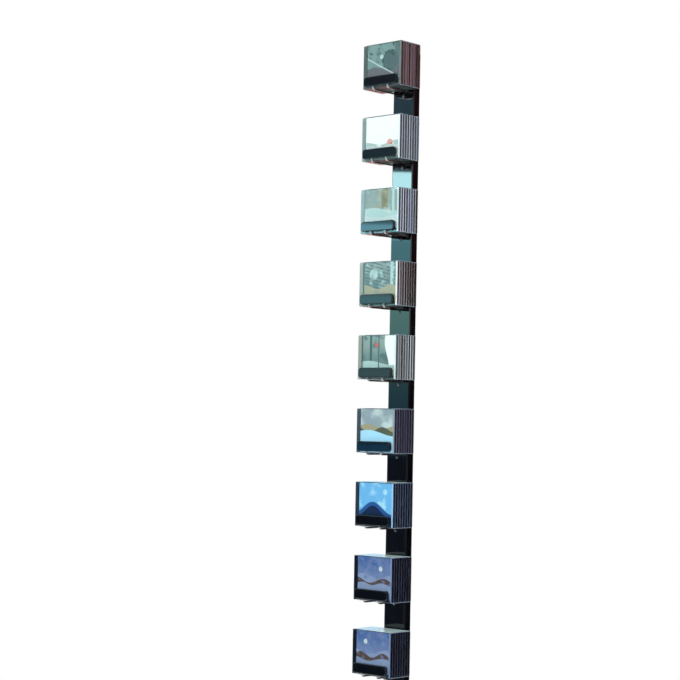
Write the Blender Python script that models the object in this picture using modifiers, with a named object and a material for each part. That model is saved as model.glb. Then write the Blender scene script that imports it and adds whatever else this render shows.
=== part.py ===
"""Wall rack for compact-disc cases.

A tall folded-steel channel hangs on the wall. Bent-wire cradles stand out of its front, one above
another, and a moulded lip is clipped over the front of each wire. Every cradle carries a stack of
jewel cases that face the room. The front case of a stack is a piece of its own, and the cases behind
it are one pack.

Metres, +Z up. The wall is the plane y = 0 and the rack faces -Y. The origin is the centre of the top
hanger's back face.
"""

import math

import bmesh
import bpy
from mathutils import Matrix, Vector

MM = 0.001

# Clearances
SEAT_GAP = 0.3 * MM
CUT_OVERRUN = 1.0 * MM

# Jewel case
CASE_WIDTH = 142.0 * MM
CASE_HEIGHT = 125.0 * MM
CASE_THICKNESS = 10.1 * MM
CASE_AIR = 0.3 * MM
CASE_EDGE_ROUND = 0.5 * MM
CASE_HINGE_STRIP = 14.0 * MM
HINGE_RIBS = 4
HINGE_RIB_PITCH = 2.4 * MM
HINGE_RIB_WIDTH = 0.9 * MM
HINGE_RIB_DEPTH = 0.4 * MM
HINGE_RIB_END = 8.0 * MM
CASE_LID_SKIN = 1.4 * MM
CASE_LID_RIM = 6.8 * MM
CASE_SEAM_WIDTH = 0.5 * MM
CASE_SEAM_DEPTH = 0.7 * MM
PACK_CORE_INSET = 1.2 * MM

# Stacks
STACK_COUNT = 9
STACK_PITCH = 205.0 * MM
CASES_IN_STACK = 8
SPARE_ROOM = 11.4 * MM

# Wall channel
COLUMN_WIDTH = 77.0 * MM
COLUMN_DEPTH = 25.0 * MM
COLUMN_WALL = 2.0 * MM
COLUMN_BEND = 3.5 * MM
COLUMN_BEND_STEPS = 6
COLUMN_ABOVE_TOP_BASE = 105.0 * MM
CAP_THICKNESS = 2.0 * MM
CAP_PLUG = 3.5 * MM
CAP_PLUG_DEPTH = 19.0 * MM

# Hangers
HANGER_RISE = 60.0 * MM
HANGER_HEIGHT = 60.0 * MM
HANGER_SHEET = 2.5 * MM
HANGER_FLANGE = 12.0 * MM
KEYHOLE_SPACING = 40.0 * MM
KEYHOLE_RADIUS = 4.5 * MM
KEYHOLE_SLOT_WIDTH = 4.6 * MM
KEYHOLE_SLOT_RISE = 13.0 * MM
KEYHOLE_DROP = 6.0 * MM

# Wire cradle
WIRE_DIAMETER = 5.0 * MM
WIRE_BEND = 5.5 * MM
WIRE_BEND_STEPS = 3
WIRE_END_SETBACK = 0.8 * MM

# Front lip
LIP_WIDTH = 122.0 * MM
LIP_HEIGHT = 28.0 * MM
LIP_WIRE_COVER = 1.1 * MM
LIP_ABOVE_BASE = 5.0 * MM
LIP_PLAY = 0.4 * MM
LIP_CORNER = 9.0 * MM
LIP_CORNER_STEPS = 3
LIP_FRONT_ROUND = 2.5 * MM
LIP_FRONT_STEPS = 2
LIP_WALL = 1.0 * MM
LIP_RIM = 2.0 * MM
LIP_RIB = 2.0 * MM
LIP_RIB_SPACING = 16.0 * MM

# Clamp block and its screw
CLAMP_DEPTH = 10.0 * MM
CLAMP_WALL = 3.5 * MM
CLAMP_SIDE_ROOM = 3.2 * MM
CLAMP_ABOVE_WIRE = 4.3 * MM
CLAMP_BELOW_SCREW = 4.5 * MM
CLAMP_CHAMFER = 1.0 * MM
SCREW_DROP = 11.5 * MM
SCREW_SHANK = 5.0 * MM
SCREW_HEAD = 8.6 * MM
SCREW_HEAD_HEIGHT = 2.4 * MM
SCREW_DOME_STEPS = 3
SCREW_TIP_SETBACK = 1.0 * MM
SCREW_SOCKET = 3.2 * MM
SCREW_SOCKET_DEPTH = 1.5 * MM
ROUND_STEPS = 10

# Derived places: depth, from the wall to the room
COLUMN_FRONT = -COLUMN_DEPTH
CASE_STEP = CASE_THICKNESS + CASE_AIR
STACK_FRONT = COLUMN_FRONT - SPARE_ROOM - CASES_IN_STACK * CASE_STEP
LIP_BACK = STACK_FRONT - LIP_PLAY
WIRE_RADIUS = WIRE_DIAMETER / 2
WIRE_FRONT = STACK_FRONT - WIRE_BEND
LIP_FRONT = WIRE_FRONT - WIRE_RADIUS - SEAT_GAP - LIP_WIRE_COVER
CLAMP_FRONT = COLUMN_FRONT + COLUMN_WALL + SEAT_GAP
CLAMP_BACK = CLAMP_FRONT + CLAMP_DEPTH

# Derived widths: the clamp fits the channel, and the wire's ends fit the clamp
COLUMN_INNER_WIDTH = COLUMN_WIDTH - 2 * COLUMN_WALL
CLAMP_HALF = COLUMN_INNER_WIDTH / 2 - CLAMP_SIDE_ROOM
WIRE_SPACING = 2 * (CLAMP_HALF - CLAMP_WALL - SEAT_GAP - WIRE_RADIUS)

# Derived places: height above the base of a stack
WIRE_LEVEL = -(WIRE_RADIUS + SEAT_GAP)
LIP_TOP = LIP_ABOVE_BASE + LIP_HEIGHT
CROSSBAR_LEVEL = LIP_ABOVE_BASE + LIP_HEIGHT / 2
CLAMP_TOP = WIRE_LEVEL + CLAMP_ABOVE_WIRE
CLAMP_BOTTOM = -SCREW_DROP - CLAMP_BELOW_SCREW

# Derived places: height of the channel's ends
TOP_BASE = -HANGER_RISE
LOW_BASE = TOP_BASE - (STACK_COUNT - 1) * STACK_PITCH
COLUMN_TOP = TOP_BASE + COLUMN_ABOVE_TOP_BASE
COLUMN_BOTTOM = LOW_BASE + CLAMP_BOTTOM - SEAT_GAP - CAP_PLUG

# Colours: linear red, green, blue, then roughness and metallic value
BLACK_LACQUER = ((0.010, 0.012, 0.014), 0.25, 0.0)
BLACK_WIRE = ((0.020, 0.022, 0.025), 0.35, 0.6)
BLACK_PLASTIC = ((0.016, 0.018, 0.020), 0.40, 0.0)
ZINC_STEEL = ((0.420, 0.430, 0.440), 0.45, 1.0)
CASE_STYRENE = ((0.090, 0.075, 0.085), 0.20, 0.0)
COVER_TINTS = (
    (0.190, 0.330, 0.320),
    (0.780, 0.820, 0.820),
    (0.360, 0.500, 0.470),
    (0.250, 0.380, 0.370),
    (0.300, 0.470, 0.450),
    (0.480, 0.600, 0.680),
    (0.300, 0.560, 0.780),
    (0.320, 0.420, 0.640),
    (0.330, 0.430, 0.650),
)
COVER_ROUGHNESS = 0.2


def clear_scene():
    """Remove every object, so that the rack is alone in the file."""
    for obj in list(bpy.data.objects):
        bpy.data.objects.remove(obj, do_unlink=True)


def new_collection(name):
    """Make a collection and link it to the scene."""
    collection = bpy.data.collections.new(name)
    bpy.context.scene.collection.children.link(collection)
    return collection


def new_material(name, finish):
    """Make a Principled material from a colour, a roughness and a metallic value."""
    colour, roughness, metallic = finish
    material = bpy.data.materials.new(name)
    material.use_nodes = True
    shader = material.node_tree.nodes["Principled BSDF"]
    shader.inputs["Base Color"].default_value = (*colour, 1.0)
    shader.inputs["Roughness"].default_value = roughness
    shader.inputs["Metallic"].default_value = metallic
    material.diffuse_color = (*colour, 1.0)
    return material


def add_box(bm, low, high):
    """Add a box between two corners and return its edges."""
    size = [top - bottom for bottom, top in zip(low, high)]
    centre = [(top + bottom) / 2 for bottom, top in zip(low, high)]
    place = Matrix.Translation(centre) @ Matrix.Diagonal((*size, 1.0))
    verts = bmesh.ops.create_cube(bm, size=1.0, matrix=place)["verts"]
    return list({edge for vert in verts for edge in vert.link_edges})


def add_rod(bm, x, z, back, front, radius, steps=ROUND_STEPS):
    """Add a closed cylinder along Y."""
    middle = Vector((x, (back + front) / 2, z))
    place = Matrix.Translation(middle) @ Matrix.Rotation(math.pi / 2, 4, "X")
    bmesh.ops.create_cone(
        bm,
        cap_ends=True,
        segments=steps,
        radius1=radius,
        radius2=radius,
        depth=abs(back - front),
        matrix=place,
    )


def bevel_edges(bm, edges, width, steps):
    """Round edges."""
    bmesh.ops.bevel(
        bm,
        geom=edges,
        offset=width,
        segments=steps,
        profile=0.5,
        affect="EDGES",
        material=-1,
        clamp_overlap=True,
    )


def along(edges, axis):
    """Pick the edges that run along one axis: 0, 1 or 2."""
    picked = []
    for edge in edges:
        run = edge.verts[1].co - edge.verts[0].co
        if abs(run[axis]) > 0.99 * run.length:
            picked.append(edge)
    return picked


def new_object(name, bm, collection):
    """Turn a bmesh into an object of a collection."""
    mesh = bpy.data.meshes.new(name)
    bm.to_mesh(mesh)
    bm.free()
    obj = bpy.data.objects.new(name, mesh)
    collection.objects.link(obj)
    return obj


def new_cutter(name, bm):
    """Make a wire-drawn helper object that is no part of the rack."""
    cutter = new_object(name, bm, CUTTERS)
    cutter.hide_render = True
    cutter.display_type = "WIRE"
    return cutter


def add_boolean(obj, cutter, operation):
    """Cut an object with a helper, or join the helper to it."""
    modifier = obj.modifiers.new(cutter.name, "BOOLEAN")
    modifier.operation = operation
    modifier.solver = "EXACT"
    modifier.object = cutter


def settle(obj, name):
    """Apply an object's modifiers or its curve, remove it and return the welded mesh."""
    bpy.context.view_layer.update()
    graph = bpy.context.evaluated_depsgraph_get()
    mesh = bpy.data.meshes.new_from_object(obj.evaluated_get(graph), depsgraph=graph)
    mesh.name = name
    bm = bmesh.new()
    bm.from_mesh(mesh)
    bmesh.ops.remove_doubles(bm, verts=bm.verts, dist=0.001 * MM)
    bm.to_mesh(mesh)
    bm.free()
    mesh.materials.clear()
    bpy.data.objects.remove(obj, do_unlink=True)
    return mesh


def smooth(mesh, angle=math.radians(40)):
    """Shade a rounded mesh smooth, with its hard edges kept."""
    mesh.shade_smooth()
    mesh.set_sharp_from_angle(angle=angle)


def place_piece(name, mesh, material, parent=None):
    """Put a finished mesh in the rack as a named piece."""
    obj = bpy.data.objects.new(name, mesh)
    RACK.objects.link(obj)
    if not mesh.materials:
        mesh.materials.append(material)
    slot = obj.material_slots[0]
    slot.link = "OBJECT"
    slot.material = material
    obj.parent = parent
    return obj


def column_mesh():
    """Fold the channel: an open U with rounded bends, its sheet thickness and its row of holes."""
    half = COLUMN_WIDTH / 2
    bm = bmesh.new()
    corners = [(-half, 0.0), (-half, COLUMN_FRONT), (half, COLUMN_FRONT), (half, 0.0)]
    verts = [bm.verts.new((x, y, COLUMN_BOTTOM)) for x, y in corners]
    for first, second in zip(verts, verts[1:]):
        bm.edges.new((first, second))
    bmesh.ops.bevel(
        bm,
        geom=verts[1:3],
        offset=COLUMN_BEND,
        segments=COLUMN_BEND_STEPS,
        profile=0.5,
        affect="VERTICES",
        material=-1,
    )
    raised = bmesh.ops.extrude_edge_only(bm, edges=bm.edges[:])["geom"]
    raised_verts = [item for item in raised if isinstance(item, bmesh.types.BMVert)]
    bmesh.ops.translate(bm, verts=raised_verts, vec=(0.0, 0.0, COLUMN_TOP - COLUMN_BOTTOM))
    bmesh.ops.recalc_face_normals(bm, faces=bm.faces[:])
    front = min(bm.faces, key=lambda face: face.calc_center_median().y)
    if front.normal.y > 0.0:
        bmesh.ops.reverse_faces(bm, faces=bm.faces[:])
    channel = new_object("channel_sheet", bm, CUTTERS)
    sheet = channel.modifiers.new("sheet", "SOLIDIFY")
    sheet.thickness = COLUMN_WALL
    sheet.offset = -1.0
    sheet.use_even_offset = True
    add_boolean(channel, new_cutter("channel_holes", hole_rods()), "DIFFERENCE")
    mesh = settle(channel, "column")
    smooth(mesh)
    return mesh


def hole_rods():
    """Rods that drill the channel's front: two for each wire and one for each screw."""
    bm = bmesh.new()
    back = COLUMN_FRONT + COLUMN_WALL + CUT_OVERRUN
    front = COLUMN_FRONT - CUT_OVERRUN
    for bay in range(STACK_COUNT):
        base = TOP_BASE - bay * STACK_PITCH
        for side in (-1, 1):
            x = side * WIRE_SPACING / 2
            add_rod(bm, x, base + WIRE_LEVEL, back, front, WIRE_RADIUS + SEAT_GAP)
        add_rod(bm, 0.0, base - SCREW_DROP, back, front, SCREW_SHANK / 2 + SEAT_GAP)
    return bm


def cap_mesh(name, seat, outward):
    """Mould an end cap: a plate with the channel's outline and a plug that enters the channel."""
    half = COLUMN_WIDTH / 2
    near = seat + outward * SEAT_GAP
    far = near + outward * CAP_THICKNESS
    bm = bmesh.new()
    edges = add_box(bm, (-half, COLUMN_FRONT, min(near, far)), (half, 0.0, max(near, far)))
    front_edges = [edge for edge in along(edges, 2) if edge.verts[0].co.y < COLUMN_FRONT / 2]
    bevel_edges(bm, front_edges, COLUMN_BEND, COLUMN_BEND_STEPS)
    plate = new_object(name + "_plate", bm, CUTTERS)
    plug_half = COLUMN_INNER_WIDTH / 2 - SEAT_GAP
    plug_front = COLUMN_FRONT + COLUMN_WALL + SEAT_GAP
    plug_end = seat - outward * CAP_PLUG
    middle = (near + far) / 2
    bm = bmesh.new()
    add_box(
        bm,
        (-plug_half, plug_front, min(plug_end, middle)),
        (plug_half, plug_front + CAP_PLUG_DEPTH, max(plug_end, middle)),
    )
    plug_edges = [edge for edge in bm.edges if edge.verts[0].co.y < COLUMN_FRONT / 2]
    bevel_edges(bm, along(plug_edges, 2), COLUMN_BEND - COLUMN_WALL, COLUMN_BEND_STEPS)
    add_boolean(plate, new_cutter(name + "_plug", bm), "UNION")
    mesh = settle(plate, name)
    smooth(mesh)
    return mesh


def hanger_mesh():
    """Bend a hanger: a plate on the wall with two keyholes, and flanges inside the channel."""
    half = COLUMN_INNER_WIDTH / 2 - SEAT_GAP
    low, high = -HANGER_HEIGHT / 2, HANGER_HEIGHT / 2
    bm = bmesh.new()
    add_box(bm, (-half, -HANGER_FLANGE, low), (half, 0.0, high))
    plate = new_object("hanger_block", bm, CUTTERS)
    bm = bmesh.new()
    inner = half - HANGER_SHEET
    add_box(
        bm,
        (-inner, -HANGER_FLANGE - CUT_OVERRUN, low - CUT_OVERRUN),
        (inner, -HANGER_SHEET, high + CUT_OVERRUN),
    )
    add_boolean(plate, new_cutter("hanger_hollow", bm), "DIFFERENCE")
    back, front = CUT_OVERRUN, -HANGER_SHEET - CUT_OVERRUN
    for side, label in ((-1, "left"), (1, "right")):
        x = side * KEYHOLE_SPACING / 2
        bm = bmesh.new()
        add_rod(bm, x, -KEYHOLE_DROP, back, front, KEYHOLE_RADIUS)
        add_boolean(plate, new_cutter("keyhole_" + label, bm), "DIFFERENCE")
        bm = bmesh.new()
        reach = KEYHOLE_SLOT_WIDTH / 2
        add_box(
            bm,
            (x - reach, front, -KEYHOLE_DROP),
            (x + reach, back, -KEYHOLE_DROP + KEYHOLE_SLOT_RISE),
        )
        add_boolean(plate, new_cutter("keyhole_slot_" + label, bm), "DIFFERENCE")
    return settle(plate, "hanger")


def rounded_route(corners, radius, steps):
    """Points of a route whose inner corners are arcs of one radius."""
    points = [corners[0]]
    for before, corner, after in zip(corners, corners[1:], corners[2:]):
        into = (corner - before).normalized()
        out = (after - corner).normalized()
        centre = corner - into * radius + out * radius
        for step in range(steps + 1):
            turn = step / steps * math.pi / 2
            points.append(centre - out * radius * math.cos(turn) + into * radius * math.sin(turn))
    points.append(corners[-1])
    return points


def cradle_mesh():
    """Bend the cradle from one wire: back under the stack on each side, up and across in the lip."""
    side = WIRE_SPACING / 2
    end = CLAMP_BACK - WIRE_END_SETBACK
    corners = [
        Vector((-side, end, WIRE_LEVEL)),
        Vector((-side, WIRE_FRONT, WIRE_LEVEL)),
        Vector((-side, WIRE_FRONT, CROSSBAR_LEVEL)),
        Vector((side, WIRE_FRONT, CROSSBAR_LEVEL)),
        Vector((side, WIRE_FRONT, WIRE_LEVEL)),
        Vector((side, end, WIRE_LEVEL)),
    ]
    route = rounded_route(corners, WIRE_BEND, WIRE_BEND_STEPS)
    curve = bpy.data.curves.new("cradle_wire", "CURVE")
    curve.dimensions = "3D"
    curve.bevel_depth = WIRE_RADIUS
    curve.bevel_resolution = 2
    curve.use_fill_caps = True
    spline = curve.splines.new("POLY")
    spline.points.add(len(route) - 1)
    for point, place in zip(spline.points, route):
        point.co = (*place, 1.0)
    wire = bpy.data.objects.new("cradle_wire", curve)
    CUTTERS.objects.link(wire)
    mesh = settle(wire, "cradle")
    smooth(mesh)
    return mesh


def lip_mesh():
    """Mould the lip: a rounded bar, hollow at the back, with ribs and slots that clip on the wire."""
    half = LIP_WIDTH / 2
    bm = bmesh.new()
    edges = add_box(bm, (-half, LIP_FRONT, LIP_ABOVE_BASE), (half, LIP_BACK, LIP_TOP))
    bevel_edges(bm, along(edges, 1), LIP_CORNER, LIP_CORNER_STEPS)
    face_edges = [edge for edge in bm.edges if max(v.co.y for v in edge.verts) < LIP_FRONT + CUT_OVERRUN]
    bevel_edges(bm, face_edges, LIP_FRONT_ROUND, LIP_FRONT_STEPS)
    bar = new_object("lip_bar", bm, CUTTERS)
    pocket_front = LIP_FRONT + LIP_WALL
    pocket_back = LIP_BACK + CUT_OVERRUN
    bm = bmesh.new()
    edges = add_box(
        bm,
        (-half + LIP_RIM, pocket_front, LIP_ABOVE_BASE + LIP_RIM),
        (half - LIP_RIM, pocket_back, LIP_TOP - LIP_RIM),
    )
    bevel_edges(bm, along(edges, 1), LIP_CORNER - LIP_RIM, LIP_CORNER_STEPS)
    add_boolean(bar, new_cutter("lip_pocket", bm), "DIFFERENCE")
    bm = bmesh.new()
    for column in (-1, 0, 1):
        x = column * LIP_RIB_SPACING
        add_box(
            bm,
            (x - LIP_RIB / 2, LIP_FRONT + LIP_WALL / 2, LIP_ABOVE_BASE + LIP_RIM / 2),
            (x + LIP_RIB / 2, LIP_BACK - LIP_PLAY, LIP_TOP - LIP_RIM / 2),
        )
    add_boolean(bar, new_cutter("lip_ribs", bm), "UNION")
    slot = WIRE_RADIUS + SEAT_GAP
    side = WIRE_SPACING / 2
    slot_front = WIRE_FRONT - slot
    for label, x in (("left", -side), ("right", side)):
        bm = bmesh.new()
        add_box(
            bm,
            (x - slot, slot_front, LIP_ABOVE_BASE - CUT_OVERRUN),
            (x + slot, pocket_back, CROSSBAR_LEVEL),
        )
        add_boolean(bar, new_cutter("lip_leg_slot_" + label, bm), "DIFFERENCE")
    bm = bmesh.new()
    add_box(
        bm,
        (-side, slot_front, CROSSBAR_LEVEL - slot),
        (side, pocket_back, CROSSBAR_LEVEL + slot),
    )
    add_boolean(bar, new_cutter("lip_bar_slot", bm), "DIFFERENCE")
    mesh = settle(bar, "lip")
    smooth(mesh)
    return mesh


def clamp_mesh():
    """Machine the clamp block that grips the wire's ends inside the channel."""
    bm = bmesh.new()
    edges = add_box(bm, (-CLAMP_HALF, CLAMP_FRONT, CLAMP_BOTTOM), (CLAMP_HALF, CLAMP_BACK, CLAMP_TOP))
    bevel_edges(bm, along(edges, 1), CLAMP_CHAMFER, 1)
    block = new_object("clamp_block", bm, CUTTERS)
    back, front = CLAMP_BACK + CUT_OVERRUN, CLAMP_FRONT - CUT_OVERRUN
    bm = bmesh.new()
    for side in (-1, 1):
        add_rod(bm, side * WIRE_SPACING / 2, WIRE_LEVEL, back, front, WIRE_RADIUS + SEAT_GAP)
    add_rod(bm, 0.0, -SCREW_DROP, back, front, SCREW_SHANK / 2 + SEAT_GAP)
    add_boolean(block, new_cutter("clamp_bores", bm), "DIFFERENCE")
    return settle(block, "clamp")


def screw_mesh():
    """Turn the dome-head screw about Z and cut its six-sided socket. Z = 0 is under the head."""
    head = SCREW_HEAD / 2
    shank = SCREW_SHANK / 2
    reach = COLUMN_WALL + 2 * SEAT_GAP + CLAMP_DEPTH - SCREW_TIP_SETBACK
    profile = []
    for step in range(SCREW_DOME_STEPS + 1):
        turn = step / SCREW_DOME_STEPS * math.pi / 2
        profile.append((head * math.sin(turn), SCREW_HEAD_HEIGHT * math.cos(turn)))
    profile += [(shank, 0.0), (shank, -reach), (0.0, -reach)]
    bm = bmesh.new()
    verts = [bm.verts.new((x, 0.0, z)) for x, z in profile]
    for first, second in zip(verts, verts[1:]):
        bm.edges.new((first, second))
    screw = new_object("screw_profile", bm, CUTTERS)
    turned = screw.modifiers.new("turned", "SCREW")
    turned.axis = "Z"
    turned.angle = 2 * math.pi
    turned.steps = ROUND_STEPS
    turned.render_steps = ROUND_STEPS
    turned.use_merge_vertices = True
    turned.merge_threshold = 0.001 * MM
    bm = bmesh.new()
    bmesh.ops.create_cone(
        bm,
        cap_ends=True,
        segments=6,
        radius1=SCREW_SOCKET / math.sqrt(3),
        radius2=SCREW_SOCKET / math.sqrt(3),
        depth=2 * SCREW_SOCKET_DEPTH,
        matrix=Matrix.Translation((0.0, 0.0, SCREW_HEAD_HEIGHT)),
    )
    add_boolean(screw, new_cutter("screw_socket", bm), "DIFFERENCE")
    mesh = settle(screw, "screw")
    smooth(mesh)
    return mesh


def cut_side_seam(case):
    """Cut the seam between the lid and the base in the right side of a case."""
    half = CASE_WIDTH / 2
    bm = bmesh.new()
    add_box(
        bm,
        (half - CASE_SEAM_DEPTH, CASE_LID_SKIN, CASE_SEAM_DEPTH),
        (half + CUT_OVERRUN, CASE_LID_SKIN + CASE_SEAM_WIDTH, CASE_HEIGHT - CASE_SEAM_DEPTH),
    )
    add_boolean(case, new_cutter(case.name + "_side_seam", bm), "DIFFERENCE")


def hinge_groove_boxes():
    """Grooves between the ribs of the hinge strip, in the middle of its width."""
    bm = bmesh.new()
    middle = -CASE_WIDTH / 2 + CASE_HINGE_STRIP / 2
    for rib in range(HINGE_RIBS):
        x = middle + (rib - (HINGE_RIBS - 1) / 2) * HINGE_RIB_PITCH
        add_box(
            bm,
            (x - HINGE_RIB_WIDTH / 2, -CUT_OVERRUN, HINGE_RIB_END),
            (x + HINGE_RIB_WIDTH / 2, HINGE_RIB_DEPTH, CASE_HEIGHT - HINGE_RIB_END),
        )
    return bm


def front_case_mesh():
    """Mould a closed jewel case with its ribbed hinge strip, lid rims and seams. Y = 0 is its front."""
    half = CASE_WIDTH / 2
    bm = bmesh.new()
    edges = add_box(bm, (-half, 0.0, 0.0), (half, CASE_THICKNESS, CASE_HEIGHT))
    bevel_edges(bm, along(edges, 1), CASE_EDGE_ROUND, 1)
    case = new_object("case_block", bm, CUTTERS)
    out = CUT_OVERRUN
    deep = CASE_SEAM_DEPTH
    hinge = -half + CASE_HINGE_STRIP
    seams = {
        "hinge_seam": ((hinge, -out, -out), (hinge + CASE_SEAM_WIDTH, deep, CASE_HEIGHT + out)),
        "top_seam": (
            (hinge, CASE_LID_RIM, CASE_HEIGHT - deep),
            (half + out, CASE_LID_RIM + CASE_SEAM_WIDTH, CASE_HEIGHT + out),
        ),
        "base_seam": (
            (hinge, CASE_LID_RIM, -out),
            (half + out, CASE_LID_RIM + CASE_SEAM_WIDTH, deep),
        ),
    }
    for name, (low, high) in seams.items():
        bm = bmesh.new()
        add_box(bm, low, high)
        add_boolean(case, new_cutter(name, bm), "DIFFERENCE")
    cut_side_seam(case)
    add_boolean(case, new_cutter("hinge_grooves", hinge_groove_boxes()), "DIFFERENCE")
    return settle(case, "front_case")


def case_pack_mesh():
    """Stand the cases behind the front one in a row and join them through a core set in from the edges."""
    half = CASE_WIDTH / 2
    count = CASES_IN_STACK - 1
    bm = bmesh.new()
    add_box(bm, (-half, 0.0, 0.0), (half, CASE_THICKNESS, CASE_HEIGHT))
    pack = new_object("pack_case", bm, CUTTERS)
    cut_side_seam(pack)
    row = pack.modifiers.new("row", "ARRAY")
    row.count = count
    row.use_relative_offset = False
    row.use_constant_offset = True
    row.constant_offset_displace = (0.0, CASE_STEP, 0.0)
    inset = PACK_CORE_INSET
    bm = bmesh.new()
    add_box(
        bm,
        (-half + inset, CASE_THICKNESS / 2, inset),
        (half - inset, (count - 1) * CASE_STEP + CASE_THICKNESS / 2, CASE_HEIGHT - inset),
    )
    add_boolean(pack, new_cutter("pack_core", bm), "UNION")
    return settle(pack, "case_pack")


def build_column():
    """Place the channel, its end caps and its hangers."""
    lacquer = new_material("column_lacquer", BLACK_LACQUER)
    plastic = new_material("cap_plastic", BLACK_PLASTIC)
    zinc = new_material("hanger_zinc", ZINC_STEEL)
    place_piece("column", column_mesh(), lacquer)
    place_piece("column_cap_top", cap_mesh("cap_top", COLUMN_TOP, 1), plastic)
    place_piece("column_cap_bottom", cap_mesh("cap_bottom", COLUMN_BOTTOM, -1), plastic)
    hanger = hanger_mesh()
    place_piece("hanger_top", hanger, zinc)
    low_hanger = place_piece("hanger_bottom", hanger, zinc)
    low_hanger.location.z = LOW_BASE - TOP_BASE


def build_bays():
    """Place each bay's holder and its cases on an empty at the base of the stack."""
    wire = new_material("cradle_wire", BLACK_WIRE)
    plastic = new_material("lip_plastic", BLACK_PLASTIC)
    zinc = new_material("clamp_zinc", ZINC_STEEL)
    dark = new_material("screw_black", BLACK_WIRE)
    styrene = new_material("case_styrene", CASE_STYRENE)
    cradle = cradle_mesh()
    lip = lip_mesh()
    clamp = clamp_mesh()
    screw = screw_mesh()
    front_case = front_case_mesh()
    case_pack = case_pack_mesh()
    for bay in range(STACK_COUNT):
        number = str(bay + 1)
        base = bpy.data.objects.new("bay_" + number, None)
        RACK.objects.link(base)
        base.location.z = TOP_BASE - bay * STACK_PITCH
        place_piece("cradle_" + number, cradle, wire, base)
        place_piece("lip_" + number, lip, plastic, base)
        place_piece("clamp_" + number, clamp, zinc, base)
        screw_piece = place_piece("screw_" + number, screw, dark, base)
        screw_piece.rotation_euler.x = math.pi / 2
        screw_piece.location = (0.0, COLUMN_FRONT - SEAT_GAP, -SCREW_DROP)
        tint = COVER_TINTS[bay % len(COVER_TINTS)]
        cover = new_material("cover_" + number, (tint, COVER_ROUGHNESS, 0.0))
        case_piece = place_piece("front_case_" + number, front_case, cover, base)
        case_piece.location.y = STACK_FRONT
        pack_piece = place_piece("case_pack_" + number, case_pack, styrene, base)
        pack_piece.location.y = STACK_FRONT + CASE_STEP


clear_scene()
RACK = new_collection("wall_cd_rack")
CUTTERS = new_collection("cutters")
build_column()
build_bays()
bpy.context.view_layer.update()
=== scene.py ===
"""Finished pieces of a wall rack for compact-disc cases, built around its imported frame.

The lacquered channel, its caps, the wire cradles, the moulded lips, the screws and every jewel case are
modelled here in full detail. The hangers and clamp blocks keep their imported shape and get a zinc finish.
Metres, +Z up, and the rack faces -Y, as in the frame.
"""

import math
import random
from collections import namedtuple

import bmesh
import bpy
from bpy.props import FloatProperty, FloatVectorProperty, IntProperty, PointerProperty
from bpy.types import Operator, Panel, PropertyGroup
from mathutils import Matrix, Vector


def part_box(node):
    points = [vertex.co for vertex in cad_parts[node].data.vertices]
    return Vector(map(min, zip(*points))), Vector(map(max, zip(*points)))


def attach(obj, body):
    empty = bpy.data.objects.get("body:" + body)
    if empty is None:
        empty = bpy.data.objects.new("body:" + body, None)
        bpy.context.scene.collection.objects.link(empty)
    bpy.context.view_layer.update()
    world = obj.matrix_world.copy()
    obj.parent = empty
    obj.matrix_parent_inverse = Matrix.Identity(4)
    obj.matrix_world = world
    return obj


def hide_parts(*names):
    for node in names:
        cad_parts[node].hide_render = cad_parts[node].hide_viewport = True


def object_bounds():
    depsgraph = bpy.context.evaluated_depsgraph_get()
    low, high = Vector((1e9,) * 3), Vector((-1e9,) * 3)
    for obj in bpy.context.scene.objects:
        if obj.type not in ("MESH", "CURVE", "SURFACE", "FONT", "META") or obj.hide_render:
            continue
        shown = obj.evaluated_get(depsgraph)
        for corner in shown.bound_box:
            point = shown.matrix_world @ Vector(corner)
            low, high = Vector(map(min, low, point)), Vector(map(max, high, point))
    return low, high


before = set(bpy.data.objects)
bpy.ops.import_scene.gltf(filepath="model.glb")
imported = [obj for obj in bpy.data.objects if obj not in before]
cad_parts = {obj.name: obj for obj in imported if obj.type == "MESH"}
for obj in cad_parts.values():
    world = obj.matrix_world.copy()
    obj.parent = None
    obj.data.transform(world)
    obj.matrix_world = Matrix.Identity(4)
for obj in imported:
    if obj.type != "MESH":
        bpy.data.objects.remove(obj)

bl_info = {
    "name": "Wall CD Rack",
    "version": (1, 0, 0),
    "blender": (4, 5, 0),
    "location": "View3D > Sidebar > CD Rack",
    "description": "Builds the finished pieces of a wall rack for compact-disc cases and a plain studio",
    "category": "Add Mesh",
}

MM = 0.001

# Tolerances, and the turn that lays a tool's own axis along Y
HAIR = 0.1 * MM
WELD = 0.01 * MM
FINE_WELD = 0.001 * MM
SQUARE_ON = 0.9
TO_FRONT = Matrix.Rotation(math.pi / 2, 4, "X")

# Facets of round forms, and the angles that stay hard, in degrees
HOLE_SIDES = 28
WIRE_BEND_STEPS = 8
LIP_CORNER_STEPS, LIP_FRONT_STEPS, LIP_BACK_STEPS = 12, 6, 2
SCREW_SIDES, DOME_STEPS = 36, 8
CAP_STEPS = 4
FRONT_CASE_STEPS, PACK_STEPS = 2, 1
FLOOR_SIDES = 96
CREASE, WIRE_CREASE = 35.0, 50.0

# Places read from the frame
CAD_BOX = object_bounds()
CASE_LOW, CASE_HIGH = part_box("front_case_1")
PACK_LOW, PACK_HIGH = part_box("case_pack_1")
LIP_LOW, LIP_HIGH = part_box("lip_1")
WIRE_LOW, WIRE_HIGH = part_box("cradle_1")
SCREW_LOW, SCREW_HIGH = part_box("screw_1")
COLUMN_LOW, COLUMN_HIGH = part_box("column")
BAYS = range(1, 1 + sum(name.startswith("lip_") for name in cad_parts))
CASE_DEPTH = CASE_HIGH.y - CASE_LOW.y
CASE_STEP = PACK_LOW.y - CASE_LOW.y
PACK_CASES = 1 + round((PACK_HIGH.y - PACK_LOW.y - CASE_DEPTH) / CASE_STEP)

# Names shared by meshes and materials
TINT = "tint"
PRINT_UV = "booklet"

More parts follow.
